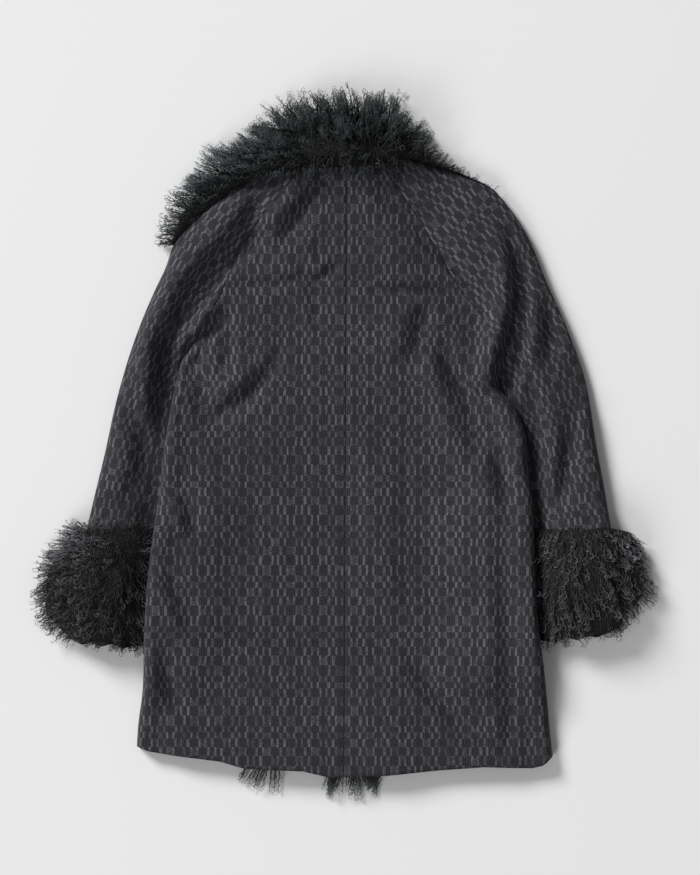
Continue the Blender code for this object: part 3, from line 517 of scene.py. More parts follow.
def sleeve_panel(side, top, rows, angles, columns):
    """Grid of places on the outer face of a sleeve half, from the inner seam to the overarm seam."""
    k = np.asarray(rows, float)
    upper = k <= RAGLAN_ROWS
    step = np.clip(k - RAGLAN_ROWS, 0.0, ARM_ROWS + CUFF_ROWS)
    arm = np.clip(step / ARM_ROWS, 0.0, 1.0)
    cuff = np.clip((step - ARM_ROWS) / CUFF_ROWS, 0.0, 1.0)
    seam_step = np.clip(RAGLAN_ROWS - k, 0.0, RAGLAN_ROWS)
    share_under = side.cuff_under * arm + (1.0 - side.cuff_under) * cuff
    share_over = side.cuff_over * arm + (1.0 - side.cuff_over) * cuff
    top_share = side.outline["shoulder_share"]
    seam_line = side.raglan(seam_step)
    inner = np.where(upper[:, None], seam_line, on_line(side.outline["underarm"], share_under))
    over_upper = on_line(side.outline["overarm"], top_share * (1.0 - side.raglan_share(seam_step)))
    over_lower = on_line(side.outline["overarm"], mix(top_share, 1.0, share_over))
    outer = np.where(upper[:, None], over_upper, over_lower)
    # the small drift keeps a direction where the line stands still, below the armpit
    drifting = seam_line + np.arange(len(k))[:, None] * 1e-6
    inner = set_apart(inner, drifting, outer, upper)
    width = np.linalg.norm(outer - inner, axis=1)[:, None]
    outward = (outer - inner) / width
    seam_top, seam_under, rolled = side.raglan_heights(seam_line)
    rolled = np.where(upper, rolled, 1.0)[:, None]
    sign = 1.0 if top else -1.0

    def visible(x, y):
        return side.sign * (x - x_at(side.outline["edge"], y))

    def in_cuff(y):
        return before(y, CUFF_TOP_Y + WRIST_START[0], WRIST_START[1])

    def lifted(x, y):
        fitted = in_cuff(y) * mix(WRIST_TUCKED, WRIST_FREE, past(visible(x, y), *WRIST_SLOPE))
        return np.where(upper.reshape((-1,) + (1,) * (np.ndim(x) - 1)), band_lift(x), 0.0) + fitted

    fall = before(inner[:, 1], side.armpit[1], ARMPIT_RUN)
    lower_z = mix(SIDE_SEAM_Z, TUCK_SEAM_Z, fall) + lifted(inner[:, 0], inner[:, 1]) + sign * SEAM / 2
    inner_z = np.where(upper, seam_top if top else seam_under, lower_z)[:, None]
    outer_z = (OVER_SEAM_Z + lifted(outer[:, 0], outer[:, 1]) + sign * SEAM / 2)[:, None]

    flat_run = SLEEVE_FLAT_RUN[top]
    turn = np.radians(np.asarray(angles, float))[None, :]
    back_turn = turn[:, ::-1]
    inner_part = roll_part(flat_run, TUCK_ROLL, turn, rolled)
    outer_part = width - OVER_ROLL * (1.0 - np.cos(back_turn))
    first = mix(flat_run, TUCK_ROLL, rolled)
    main_part = first + (width - OVER_ROLL - first) * np.linspace(0.0, 1.0, columns + 2)[None, 1:-1]
    distance = np.concatenate((np.zeros_like(width), inner_part, main_part, outer_part, width), axis=1)
    x = inner[:, :1] + outward[:, :1] * distance
    y = inner[:, 1:] + outward[:, 1:] * distance

    lift = lifted(x, y)
    if top:
        arch = np.maximum(np.sin(np.pi * np.minimum(distance / width, 1.0)), 0.0) ** 1.5
        rise = SHOULDER_RISE * soft_step(k / 4.0)[:, None] * arch
        lowest = lift + 2.0 * CLOTH + LAYER + OVER_SEAM_Z * hump(width - distance, 0.0, OVER_WIDE)
        armpit_room = rolled * SIDE_BEAD * hump(distance, TUCK_AT, TUCK_WIDE)
        high = np.maximum(top_of(lift, x, y) + rise, lowest + armpit_room)
        high = high - (1.0 - rolled) * groove(distance)
        relief = SLEEVE_RISE + in_cuff(y) * WRIST_ROUND + folds(x, y) + ease(x, y)
        low = lift + TUCK_TOP + past(visible(x, y), *SLEEVE_SHOWS) * relief
        below = before(y, side.armpit[1], ARMPIT_RUN)
        flat_z = np.where(upper[:, None], high, mix(high, np.maximum(low, lowest), below))
    else:
        flat_z = lift + under_creases(x, y + SLEEVE_CREASE_MOVE)
    inner_roll, outer_roll = slice(1, len(angles) + 1), slice(-len(angles) - 1, -1)
    z = flat_z.copy()
    z[:, :1], z[:, -1:] = inner_z, outer_z
    z[:, inner_roll] = roll_heights(flat_z[:, inner_roll], inner_z, sign, turn, rolled)
    z[:, outer_roll] = roll_heights(flat_z[:, outer_roll], outer_z, sign, back_turn)
    return np.stack((x, y, z), axis=2)


def spent_on_relief(grid):
    """Length of cloth that goes up and down along each row, in excess of the plan distance."""
    steps = np.diff(grid, axis=1)
    excess = np.linalg.norm(steps, axis=2) - np.linalg.norm(steps[:, :, :2], axis=2)
    return np.concatenate((np.zeros((len(grid), 1)), np.cumsum(excess, axis=1)), axis=1)


def body_weave(side, grid):
    """Cloth coordinates of a body panel: across and along the grain, in millimetres."""
    excess = spent_on_relief(grid)
    across = grid[..., 0] + side.sign * (excess[:, -1:] - excess) + WEAVE_START[side.name]
    return across, grid[..., 1]


def sleeve_weave(side, grid):
    """Cloth coordinates of a sleeve half, whose grain follows the arm."""
    line = on_line(side.outline["grain"], np.linspace(0.0, 1.0, 60))
    line = np.vstack((line[0] - GRAIN_PAST_NECK * unit(line[1] - line[0]), line))
    distance, along, turn, _ = nearest_on(line, grid[..., 0], grid[..., 1])
    signed = distance * turn * -side.sign
    excess = spent_on_relief(grid)
    middle = excess[np.arange(len(grid)), np.abs(signed).argmin(axis=1)][:, None]
    return signed - (excess - middle) + WEAVE_START[side.name], -along


def in_scene(name, data):
    thing = bpy.data.objects.new(name, data)
    bpy.context.scene.collection.objects.link(thing)
    return thing


def cloth_piece(name, grid, weave, faces_up, material):
    """A cloth panel from its grid, with its weave coordinates, given its wall."""
    rows, columns = grid.shape[:2]
    mesh = bpy.data.meshes.new(name)
    index = np.arange(rows * columns).reshape(rows, columns)
    corners = (index[:-1, :-1], index[:-1, 1:], index[1:, 1:], index[1:, :-1])
    quads = np.stack(corners, axis=2).reshape(-1, 4)
    mesh.from_pydata(grid.reshape(-1, 3) * MM, [], quads.tolist())
    if (sum(face.normal.z * face.area for face in mesh.polygons) > 0.0) != faces_up:
        mesh.flip_normals()
    corner = np.zeros(len(mesh.loops), np.int32)
    mesh.loops.foreach_get("vertex_index", corner)
    flat = np.stack((weave[0].ravel(), weave[1].ravel()), axis=1)[corner] * MM
    mesh.uv_layers.new(name="weave").data.foreach_set("uv", flat.ravel())
    mesh.shade_smooth()
    mesh.materials.append(material)
    piece = in_scene(name, mesh)
    wall = piece.modifiers.new("wall", "SOLIDIFY")
    wall.thickness = CLOTH * MM
    wall.offset = -1.0
    wall.use_quality_normals = True
    return piece


class Value:
    """An output of a node, the first unless another is named. Arithmetic on it adds nodes."""

    def __init__(self, tree, node, name=0):
        self.tree = tree
        self.node = node
        self.out = node.outputs[name] if node.outputs else None

    def __getitem__(self, name):
        return Value(self.tree, self.node, name)

    def __add__(self, other):
        return self.tree.work("ADD", self, other)

    def __sub__(self, other):
        return self.tree.work("SUBTRACT", self, other)

    def __rsub__(self, other):
        return self.tree.work("SUBTRACT", other, self)

    def __mul__(self, other):
        return self.tree.work("MULTIPLY", self, other)

    def __truediv__(self, other):
        return self.tree.work("DIVIDE", self, other)


class Tree:
    """Short calls that add nodes to a node tree and join their sockets."""

    def __init__(self, tree):
        self.tree = tree

    def put(self, socket, value):
        if isinstance(value, Value):
            self.tree.links.new(value.out, socket)
        elif value is not None:
            socket.default_value = value

    def add(self, kind, inputs=None, **settings):
        node = self.tree.nodes.new(kind)
        for name, value in settings.items():
            setattr(node, name, value)
        for name, value in (inputs or {}).items():
            self.put(node.inputs[name], value)
        return Value(self, node)

    def math(self, operation, *values):
        return self.add("ShaderNodeMath", dict(enumerate(values)), operation=operation)

    def vector(self, operation, *values):
        return self.add("ShaderNodeVectorMath", dict(enumerate(values)), operation=operation)

    def work(self, operation, first, second):
        """Arithmetic on two numbers, two vectors, or a vector and the number that scales it."""
        vectors = [
            value for value in (first, second)
            if isinstance(value, tuple) or isinstance(value, Value) and value.out.type in ("VECTOR", "RGBA")
        ]
        if not vectors:
            return self.math(operation, first, second)
        if len(vectors) == 2:
            return self.vector(operation, first, second)
        scale = second if vectors[0] is first else first
        return self.add("ShaderNodeVectorMath", {0: vectors[0], "Scale": scale}, operation="SCALE")

    def mixed(self, share, first, second, colours=False):
        """A number or a colour between two others."""
        kind, slots = ("RGBA", (0, 6, 7)) if colours else ("FLOAT", (0, 2, 3))
        inputs = dict(zip(slots, (share, first, second)))
        return self.add("ShaderNodeMix", inputs, data_type=kind)[2 if colours else 0]

    def span(self, value, low, high, to_low=0.0, to_high=1.0):
        """Value moved from one range to another, with soft ends."""
        names = ("Value", "From Min", "From Max", "To Min", "To Max")
        inputs = dict(zip(names, (value, low, high, to_low, to_high)))
        return self.add("ShaderNodeMapRange", inputs, interpolation_type="SMOOTHSTEP")


def node_group(name, kind, inputs, outputs):
    """A new node group with its sockets, given as pairs of name and kind."""
    tree = bpy.data.node_groups.new(name, kind)
    for in_out, sockets in (("INPUT", inputs), ("OUTPUT", outputs)):
        for label, socket_kind in sockets:
            tree.interface.new_socket(name=label, in_out=in_out, socket_type="NodeSocket" + socket_kind)
    return Tree(tree)


HALF = (0.5, 0.5, 0.5)
TURN = 2.0 * math.pi

# Weave: widths of the columns and heights of the rows of one repeat, and their soft joins
WEAVE_COLUMNS = (11.4, 5.4, 5.4, 12.1)
WEAVE_ROWS = (8.8, 8.8, 14.9, 14.2, 12.4, 12.1)
WEAVE_SOFT = 0.3
STRIP_SOFT = 0.45
STRIP = 3.0
THIN_STRIP = 0.9
RUNG = 2.9
YARN = 1.35
FAINT_STEP = 3.3
# How far the threads wander and fray, and how many swells of each noise there are to a metre
WANDER, WANDER_GRAIN = 2.2, 42.0
FRAY, FRAY_GRAIN = 0.45, 330.0
THREAD_GRAIN = 420.0
LADDER_GRAIN = 60.0
FLECK_GRAIN = 1150.0
CLOUD_GRAIN = 9.0
# Shade of the gaps between rungs, of the rungs between strips, and of the plain cells' threads
RUNG_GAP, RUNG_BRIGHT, FAINT_BRIGHT = 0.75, 0.62, 0.21
YARN_HIGH, THREAD_HIGH = 0.22, 0.55


def pattern(t, repeat, sizes, values, soft):
    """A value for each column or row of the repeat, with soft joins."""
    out = t.add("ShaderNodeValToRGB", {"Fac": repeat})
    elements = out.node.color_ramp.elements
    elements.remove(elements[-1])
    total, at = sum(sizes), 0.0
    for size, value in zip(sizes, values):
        grey = (float(value),) * 3 + (1.0,)
        start, end = (at + soft) / total, (at + size - soft) / total
        if at == 0.0:
            elements[0].position = start
            elements[0].color = grey
        else:
            elements.new(start).color = grey
        elements.new(end).color = grey
        at += size
    return t.add("ShaderNodeSeparateColor", {"Color": out["Color"]})["Red"]


def weave_group():
    """Irregular checkerboard of plain cells and ribbed cells, as tone masks and a height."""
    masks = [(name, "Float") for name in ("Ribbed", "Bright", "Yarn", "Height")]
    t = node_group("checked weave", "ShaderNodeTree", [("Weave", "Vector")], masks)
    start = t.add("NodeGroupInput")["Weave"]

    def noise(scale, detail, place=start):
        inputs = {"Vector": place, "Scale": scale, "Detail": detail}
        return t.add("ShaderNodeTexNoise", inputs, noise_dimensions="2D")

    def waves(place, step):
        return t.math("SINE", place * (TURN / (step * MM)))

    def repeat(place, sizes):
        return t.math("FRACT", place / (sum(sizes) * MM))

    def cell_number(place, within, sizes):
        """Number of the column or row at a place, counted on from repeat to repeat."""
        count = float(len(sizes))
        share = pattern(t, within, sizes, [k / count for k in range(len(sizes))], 0.01)
        return t.math("FLOOR", place / (sum(sizes) * MM)) * count + t.math("ROUND", share * count)

    wander = (noise(WANDER_GRAIN, 1.0)["Color"] - HALF) * (WANDER * MM)
    fray = (noise(FRAY_GRAIN, 1.0)["Color"] - HALF) * (FRAY * MM)
    moved = t.add("ShaderNodeSeparateXYZ", {"Vector": start + wander + fray})
    u, v = moved["X"], moved["Y"]
    repeat_u, repeat_v = repeat(u, WEAVE_COLUMNS), repeat(v, WEAVE_ROWS)
    odd_column = pattern(t, repeat_u, WEAVE_COLUMNS, (0, 1) * 2, WEAVE_SOFT)
    odd_row = pattern(t, repeat_v, WEAVE_ROWS, (0, 1) * 3, WEAVE_SOFT)
    ribbed = t.math("ABSOLUTE", odd_column - odd_row)
    strips, halves = [], []
    for size in WEAVE_COLUMNS:
        wide = size > 2.5 * STRIP
        edge = STRIP if wide else THIN_STRIP
        strips += [(edge, wide), (size - 2.0 * edge, not wide), (edge, wide)]
        halves += [(size / 2.0, 0), (size / 2.0, 1)]
    strip = pattern(t, repeat_u, *zip(*strips), STRIP_SOFT)
    half = pattern(t, repeat_u, *zip(*halves), 0.1)
    # the two halves of a cell have their rungs half a step apart
    rung = t.span(t.math("SINE", v * (TURN / (RUNG * MM)) + half * math.pi), -0.3, 0.7)
    columns, rows = cell_number(u, repeat_u, WEAVE_COLUMNS), cell_number(v, repeat_v, WEAVE_ROWS)
    cell = t.add("ShaderNodeCombineXYZ", {"X": columns, "Y": rows})
    cell_tone = t.span(t.add("ShaderNodeTexWhiteNoise", {"Vector": cell})["Value"], 0.0, 1.0, 0.6, 1.4)
    thread_tone = t.span(noise(THREAD_GRAIN, 1.0, start * (1.0, 0.55, 1.0)), 0.3, 0.7, 0.55, 1.3)
    laddered = t.span(noise(LADDER_GRAIN, 0.0), 0.42, 0.58)
    comb = 1.0 - laddered * (RUNG_GAP - rung * RUNG_GAP)
    thread = t.math("MAXIMUM", strip * comb, rung * laddered * RUNG_BRIGHT)
    faint = t.span(waves(u, FAINT_STEP), 0.0, 1.0) * FAINT_BRIGHT
    bright = thread * (ribbed * (cell_tone * thread_tone)) + (1.0 - ribbed) * (faint * thread_tone)
    fine = waves(u, YARN)
    yarn = t.mixed(ribbed, fine * waves(v, YARN * 1.15), fine)
    height = yarn * YARN_HIGH + bright * THREAD_HIGH
    t.add("NodeGroupOutput", {"Ribbed": ribbed, "Bright": bright, "Yarn": yarn, "Height": height})
    return t.tree


def fibre_group():
    """Loose wool fibres and slight unevenness of dye over a surface."""
    outputs = [("Fleck", "Float"), ("Cloud", "Float")]
    t = node_group("wool fibres", "ShaderNodeTree", [("Place", "Vector")], outputs)
    place = t.add("NodeGroupInput")["Place"]
    long = place * (1.0, 0.45, 1.0)
    fleck = {"Vector": long, "Scale": FLECK_GRAIN, "Detail": 2.0, "Roughness": 0.7}
    cloud = {"Vector": place, "Scale": CLOUD_GRAIN, "Detail": 3.0}
    fleck, cloud = (t.add("ShaderNodeTexNoise", inputs) for inputs in (fleck, cloud))
    t.add("NodeGroupOutput", {"Fleck": fleck, "Cloud": cloud})
    return t.tree


def curl_tones_group():
    """Colour of a strand, darker at the root than at the tip, by how pale the strand is."""
    inputs = [("Along", "Float"), ("Tone", "Float"), ("Root", "Color"), ("Tip", "Color")]
    t = node_group("curl tones", "ShaderNodeTree", inputs, [("Colour", "Color")])
    given = t.add("NodeGroupInput")
    colour = t.mixed(t.span(given["Along"], 0.3, 1.0), given["Root"], given["Tip"], True)
    t.add("NodeGroupOutput", {"Colour": colour * (given["Tone"] * 1.8 + 0.15)})
    return t.tree


def dense_wool_group():
    """Dense wavy wool, as a height and a painted shade that follows it, darker in the hollows and lighter
    on the crests.
    """
    outputs = [("Height", "Float"), ("Light", "Float")]
    t = node_group("dense wavy wool", "ShaderNodeTree", [("Place", "Vector")], outputs)
    place = t.add("NodeGroupInput")["Place"]
    swirl = {"Vector": place, "Scale": 110.0, "Detail": 3.0, "Distortion": 1.6}
    waves = {"Vector": place, "Scale": 90.0, "Distortion": 12.0, "Detail": 3.0, "Detail Scale": 1.6}
    height = t.add("ShaderNodeTexNoise", swirl)["Fac"] * 1.4 + t.add("ShaderNodeTexWave", waves)["Fac"]
    # the colour follows the height: painted shade in the wool's hollows, painted light on its crests
    t.add("NodeGroupOutput", {"Height": height, "Light": t.span(height, 0.5, 1.9, 0.40, 1.7)})
    return t.tree


def principled(name, values):
    """A material, its tree, and its shader with the given constants."""
    material = bpy.data.materials.new(name)
    material.use_nodes = True
    shader = material.node_tree.nodes["Principled BSDF"]
    for label, value in values.items():
        shader.inputs[label].default_value = value
    return material, Tree(material.node_tree), shader


def woven_cloth(name, weave, fibres, dark, middle, bright):
    material, t, shader = principled(name, {
        "Roughness": 0.92, "Specular IOR Level": 0.18,
        "Sheen Weight": 0.06, "Sheen Roughness": 0.45, "Sheen Tint": (0.75, 0.74, 0.80, 1.0),
    })
    on_weave = t.add("ShaderNodeUVMap", uv_map="weave")
    cells = t.add("ShaderNodeGroup", {"Weave": on_weave}, node_tree=weave)
    on_piece = t.add("ShaderNodeTexCoord")["Object"]
    wool = t.add("ShaderNodeGroup", {"Place": on_piece}, node_tree=fibres)
    base = t.mixed(cells["Ribbed"] * 0.4, (*dark, 1.0), (*middle, 1.0), True)
    tone = t.mixed(cells["Bright"], base, (*bright, 1.0), True)
    gain = t.span(wool["Fleck"], 0.3, 0.7, 0.62, 1.38) + t.span(wool["Cloud"], 0.3, 0.7, -0.07, 0.07)
    t.put(shader.inputs["Base Color"], tone * (gain + cells["Yarn"] * 0.10))
    relief = cells["Height"] + wool["Fleck"] * 0.5
    bump = t.add("ShaderNodeBump", {"Height": relief, "Strength": 0.75, "Distance": 0.0007})
    t.put(shader.inputs["Normal"], bump["Normal"])
    return material


def fur_material(name, tones, root, tip):
    """Glossy curls that are darker at the root than at the tip."""
    material, t, shader = principled(name, {
        "Roughness": 0.5, "Specular IOR Level": 0.32,
        "Sheen Weight": 0.05, "Sheen Roughness": 0.4, "Sheen Tint": (0.62, 0.70, 0.74, 1.0),
    })
    along, tone = (t.add("ShaderNodeAttribute", attribute_name=label)["Fac"] for label in ("tip", "tone"))
    inputs = {"Along": along, "Tone": tone, "Root": (*root, 1.0), "Tip": (*tip, 1.0)}
    t.put(shader.inputs["Base Color"], t.add("ShaderNodeGroup", inputs, node_tree=tones)["Colour"])
    return material


def undercoat_material(name, dense_wool, colour):
    """Dense wavy wool under the curls, with painted shade in the hollows of its waves and painted light on
    their crests.
    """
    material, t, shader = principled(name, {"Roughness": 0.7, "Specular IOR Level": 0.2})
    place = t.add("ShaderNodeTexCoord")["Object"]
    waves = t.add("ShaderNodeGroup", {"Place": place}, node_tree=dense_wool)
    # the wool's own colour, darkened by painted shade in the hollows and lightened by painted light on the
    # crests
    t.put(shader.inputs["Base Color"], waves["Light"] * colour)
    bump = t.add("ShaderNodeBump", {"Height": waves["Height"], "Strength": 1.0, "Distance": 0.003})
    t.put(shader.inputs["Normal"], bump["Normal"])
    return material


# Inputs of the fur tree, with the kind of each
LOCK_INPUTS = (
    ("Geometry", "Geometry"), ("Strands per area", "Float"), ("Locks per area", "Float"),
    ("Seed", "Int"), ("Steps", "Int"), ("Length", "Float"), ("Thickness", "Float"), ("Curl", "Float"),
    ("Wave", "Float"), ("Stand", "Float"), ("Gather", "Float"), ("Fall", "Float"), ("Stray", "Float"),
    ("Floor", "Float"), ("Ceiling", "Float"), ("Finish", "Material"),
)
VECTOR = "FLOAT_VECTOR"
DOWN = (0.0, 0.0, -1.0)
# Steps grow closer toward the tip, where the curls are tight
STEPS_CLOSER = 1.7
# Swells to a metre of what turns a lock, and a strand, aside, and the strand's share of it
LOCK_GRAIN, STRAND_GRAIN, OWN_STRAY = 46.0, 900.0, 0.35
# Turns by which locks, and strands within a lock, are out of step
LOCK_TURN, STRAND_TURN = 3.0, 0.35
# Metres by which strands differ in how close they come to the floor and to the ceiling
LOW_SPREAD, HIGH_SPREAD = 0.0025, 0.008


def fur_tree():
    """Curly strands that grow from a skin, gathered in locks.

    The skin carries four attributes: lay, the way that the fur lies; reach, the share of the
    length; cover, the share of the strands; and pale, how much lighter they are."""
    t = node_group("curly fur", "GeometryNodeTree", LOCK_INPUTS, [("Geometry", "Geometry")])
    t.tree.is_modifier = True
    given = t.add("NodeGroupInput")

    def named(name, kind="FLOAT"):
        return t.add("GeometryNodeInputNamedAttribute", {"Name": name}, data_type=kind)

    def store(geometry, kind="FLOAT", **values):
        for name, value in values.items():
            inputs = {"Geometry": geometry, "Name": name, "Value": value}
            geometry = t.add("GeometryNodeStoreNamedAttribute", inputs, data_type=kind, domain="POINT")
        return geometry

    def random(seed, by=None):
        """A number from 0 to 1 for each place, or for each number of by."""
        return t.add("FunctionNodeRandomValue", {"Seed": seed, "ID": by}, data_type="FLOAT")[1]

    def noise(place, scale, detail):
        inputs = {"Vector": place, "Scale": scale, "Detail": detail}
        return t.add("ShaderNodeTexNoise", inputs)["Color"] - HALF

    def changed(kind, geometry, **inputs):
        return t.add("GeometryNode" + kind, {"Geometry": geometry, **inputs})

    skin, seed = given["Geometry"], given["Seed"]
    spread = "GeometryNodeDistributePointsOnFaces"
    position = t.add("GeometryNodeInputPosition")
    density = given["Strands per area"] * named("cover")
    roots = t.add(spread, {"Mesh": skin, "Seed": seed, "Density": density})
    locks = t.add(spread, {"Mesh": skin, "Seed": seed + 11.0, "Density": given["Locks per area"]})
    nearest = t.add("GeometryNodeSampleNearest", {"Geometry": locks, "Sample Position": position})
    found = {"Geometry": locks, "Index": nearest, "Value": position}
    lock = t.add("GeometryNodeSampleIndex", found, data_type=VECTOR)
    points = store(roots["Points"], VECTOR, root=position, out=roots["Normal"], lock=lock)
    points = store(points, lock_roll=random(5, nearest), roll=random(3))
    bold = t.span(named("roll"), 0.5, 0.95)
    tone = random(8) * 0.15 + named("lock_roll") * 0.50 + bold * 0.35 + named("pale")
    points = store(points, tone=tone)

    line = t.add("GeometryNodeCurvePrimitiveLine")
    line = t.add("GeometryNodeResampleCurve", {"Curve": line, "Count": given["Steps"]})
    hairs = t.add("GeometryNodeInstanceOnPoints", {"Points": points, "Instance": line})
    hairs = changed("RealizeInstances", hairs)
    hairs = store(hairs, even=t.add("GeometryNodeSplineParameter")["Factor"])
    even = named("even")
    hairs = store(hairs, tip=1.0 - t.math("POWER", 1.0 - even, STEPS_CLOSER))
    share, roll, lock_roll = (named(name) for name in ("tip", "roll", "lock_roll"))
    out, lay, root, lock = (named(name, VECTOR) for name in ("out", "lay", "root", "lock"))
    length = given["Length"] * named("reach") * t.span(roll, 0.0, 1.0, 0.70, 1.04)
    length = length * t.span(lock_roll, 0.0, 1.0, 0.8, 1.04) * t.span(roll, 0.96, 0.99, 1.0, 1.3)
    stray = noise(lock, LOCK_GRAIN, 1.5) * given["Stray"]
    own = noise(root, STRAND_GRAIN, 0.0) * (given["Stray"] * OWN_STRAY)
    way = t.vector("NORMALIZE", lay + stray + own)
    side = t.vector("NORMALIZE", t.vector("CROSS_PRODUCT", way, out))
    squared = share * share
    path = root + out * (length * (given["Stand"] * (share - squared * 0.45)))
    path = path + way * (length * (share - given["Stand"] * (share * 0.4)))
    path = path + length * given["Fall"] * squared * DOWN
    path = path + (lock - root) * (given["Gather"] * share)
    turns = length / given["Wave"] * even
    phase = (turns + (lock_roll * LOCK_TURN + roll * STRAND_TURN)) * TURN
    bold = t.span(roll, 0.5, 0.95)
    swing = given["Curl"] * t.span(even, 0.05, 0.8, 0.25, 1.0) * (bold * 0.5 + 0.7)
    sine, cosine = t.math("SINE", phase), t.math("COSINE", phase)
    path = path + side * (swing * sine) + way * (swing * 0.8 * cosine) + out * (swing * 0.5 * cosine)
    apart = t.add("ShaderNodeSeparateXYZ", {"Vector": path})
    lowest, highest = given["Floor"] + roll * LOW_SPREAD, given["Ceiling"] - roll * HIGH_SPREAD
    level = t.math("MINIMUM", t.math("MAXIMUM", apart["Z"], lowest), highest)
    placed = t.add("ShaderNodeCombineXYZ", {"X": apart["X"], "Y": apart["Y"], "Z": level})
    hairs = changed("SetPosition", hairs, Position=placed)
    slim = t.span(even, 0.3, 1.0, 1.0, 0.42) * (bold * 0.7 + 0.8)
    profile = t.add("GeometryNodeCurvePrimitiveCircle", {"Resolution": 3, "Radius": 0.5})
    tubes = t.add("GeometryNodeCurveToMesh", {
        "Curve": hairs, "Profile Curve": profile, "Fill Caps": True, "Scale": given["Thickness"] * slim,
    })
    tubes = changed("RealizeInstances", changed("SetShadeSmooth", tubes))
    t.add("NodeGroupOutput", {"Geometry": changed("SetMaterial", tubes, Material=given["Finish"])})
    return t.tree


def grown(name, skin, tree, **values):
    """Fur grown from a skin, as a plain mesh."""
    values = {key.replace("_", " ").capitalize(): value for key, value in values.items()}
    fur = skin.modifiers.new("fur", "NODES")
    fur.node_group = tree
    for item in tree.interface.items_tree:
        if item.in_out == "INPUT" and item.name in values:
            fur[item.identifier] = values[item.name]
    bpy.context.view_layer.update()
    depsgraph = bpy.context.evaluated_depsgraph_get()
    ready = skin.evaluated_get(depsgraph)
    mesh = bpy.data.meshes.new_from_object(ready, preserve_all_data_layers=True, depsgraph=depsgraph)
    skin.modifiers.remove(fur)
    for extra in ("root", "out", "lock", "lock_roll", "roll", "lay", "reach", "cover", "pale", "even"):
        if extra in mesh.attributes:
            mesh.attributes.remove(mesh.attributes[extra])
    mesh.name = name
    return in_scene(name, mesh)


def merged_copy(node, material):
    """A merged copy of a solid's mesh, to be shaped as a skin for fur."""
    name = f"{node}_undercoat"
    mesh = frame["nodes"][node].data.copy()
    shape = bmesh.new()
    shape.from_mesh(mesh)
    bmesh.ops.remove_doubles(shape, verts=shape.verts[:], dist=1e-5)
    shape.to_mesh(mesh)
    shape.free()
    mesh.name = name
    mesh.materials.clear()
    mesh.materials.append(material)
    mesh.shade_smooth()
    return in_scene(name, mesh)


def places(mesh):
    """Places of a mesh's points, in millimetres."""
    co = np.zeros(len(mesh.vertices) * 3)
    mesh.vertices.foreach_get("co", co)
    return co.reshape(-1, 3) / MM


def shaped(mesh, co, lay, reach, cover, pale):
    """The skin with its points moved, given what the fur tree reads from it."""
    mesh.vertices.foreach_set("co", (co * MM).ravel())
    for name, values in (("lay", unit(lay)), ("reach", reach), ("cover", cover), ("pale", pale)):
        is_way = name == "lay"
        attribute = mesh.attributes.new(name, VECTOR if is_way else "FLOAT", "POINT")
        values = np.broadcast_to(values, co.shape if is_way else len(co))
        attribute.data.foreach_set("vector" if is_way else "value", values.astype(np.float32).ravel())
    mesh.update()


def steps(ends, counts):
    """Rows of a panel that run through the given ends, with so many steps from one to the next."""
    spans = [np.linspace(a, b, count + 1)[:-1] for a, b, count in zip(ends, ends[1:], counts)]
    return np.append(np.concatenate(spans), ends[-1])


SIDES = {name: Side(name) for name in ("left", "right")}
BODY_ENDS = (0.0, 3.0, SIDE_ROWS, SIDE_ROWS + RAGLAN_ROWS)
SLEEVE_ENDS = (0.0, RAGLAN_ROWS, RAGLAN_ROWS + ARM_ROWS, RAGLAN_ROWS + ARM_ROWS + CUFF_ROWS)
FINE_TURN = np.linspace(0.0, 90.0, 8)
PLAIN_TURN = np.linspace(0.0, 90.0, 5)
# Each panel of a side: its shape, its weave, whether it's on top, its rows, turns and columns,
# and what it lies on
PANELS = (
    ("back_{}", body_panel, body_weave, True, steps(BODY_ENDS, (27, 97, 71)), FINE_TURN, 58,
     ("front_{}_cloth",)),
    ("front_{}", body_panel, body_weave, False, steps(BODY_ENDS, (15, 43, 33)), PLAIN_TURN, 26,
     ("front_trim_{}", "sleeve_{}_back_cloth", "cuff_{}")),
    ("sleeve_{}_back", sleeve_panel, sleeve_weave, True, steps(SLEEVE_ENDS, (59, 47, 19)), FINE_TURN, 22,
     ("sleeve_{}_front_cloth",)),
    ("sleeve_{}_front", sleeve_panel, sleeve_weave, False, steps(SLEEVE_ENDS, (35, 27, 13)), PLAIN_TURN, 14,
     ("floor",)),
)
# Dark, middle and bright tones of the checked cloth
CLOTH_TONES = ((0.0208, 0.0201, 0.0236), (0.034, 0.0334, 0.039), (0.106, 0.104, 0.119))
wool = woven_cloth("charcoal checked wool", weave_group(), fibre_group(), *CLOTH_TONES)
for name, side in SIDES.items():
    for label, panel, weave_of, top, rows, turns, columns, under in PANELS:
        node = label.format(name)
        grid = panel(side, top, rows, turns, columns)
        piece = cloth_piece(f"{node}_cloth", grid, weave_of(side, grid), top, wool)
        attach(piece, "root")
        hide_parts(node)

# Fur: its four finishes, and what all its skins keep to
curls = fur_tree()
tones = curl_tones_group()
TEAL_ROOT, TEAL_TIP = (0.006, 0.0066, 0.0072), (0.040, 0.048, 0.051)
PLUM_ROOT, PLUM_TIP = (0.022, 0.021, 0.023), (0.068, 0.065, 0.071)
black_teal = fur_material("black curls with a teal cast", tones, TEAL_ROOT, TEAL_TIP)
black_plum = fur_material("black curls with a plum cast", tones, PLUM_ROOT, PLUM_TIP)
dense_wool = dense_wool_group()
black_wool = undercoat_material("dense black undercoat", dense_wool, (0.0085, 0.0090, 0.0100))
plum_wool = undercoat_material("dense plum undercoat", dense_wool, (0.0175, 0.0165, 0.0185))
FLOOR_GAP = 2.4
FLAT_UNDER = FLOOR_GAP + 0.2
UNDER_COVER = 0.12
CEILING = 0.069
FLOOR = 0.0012

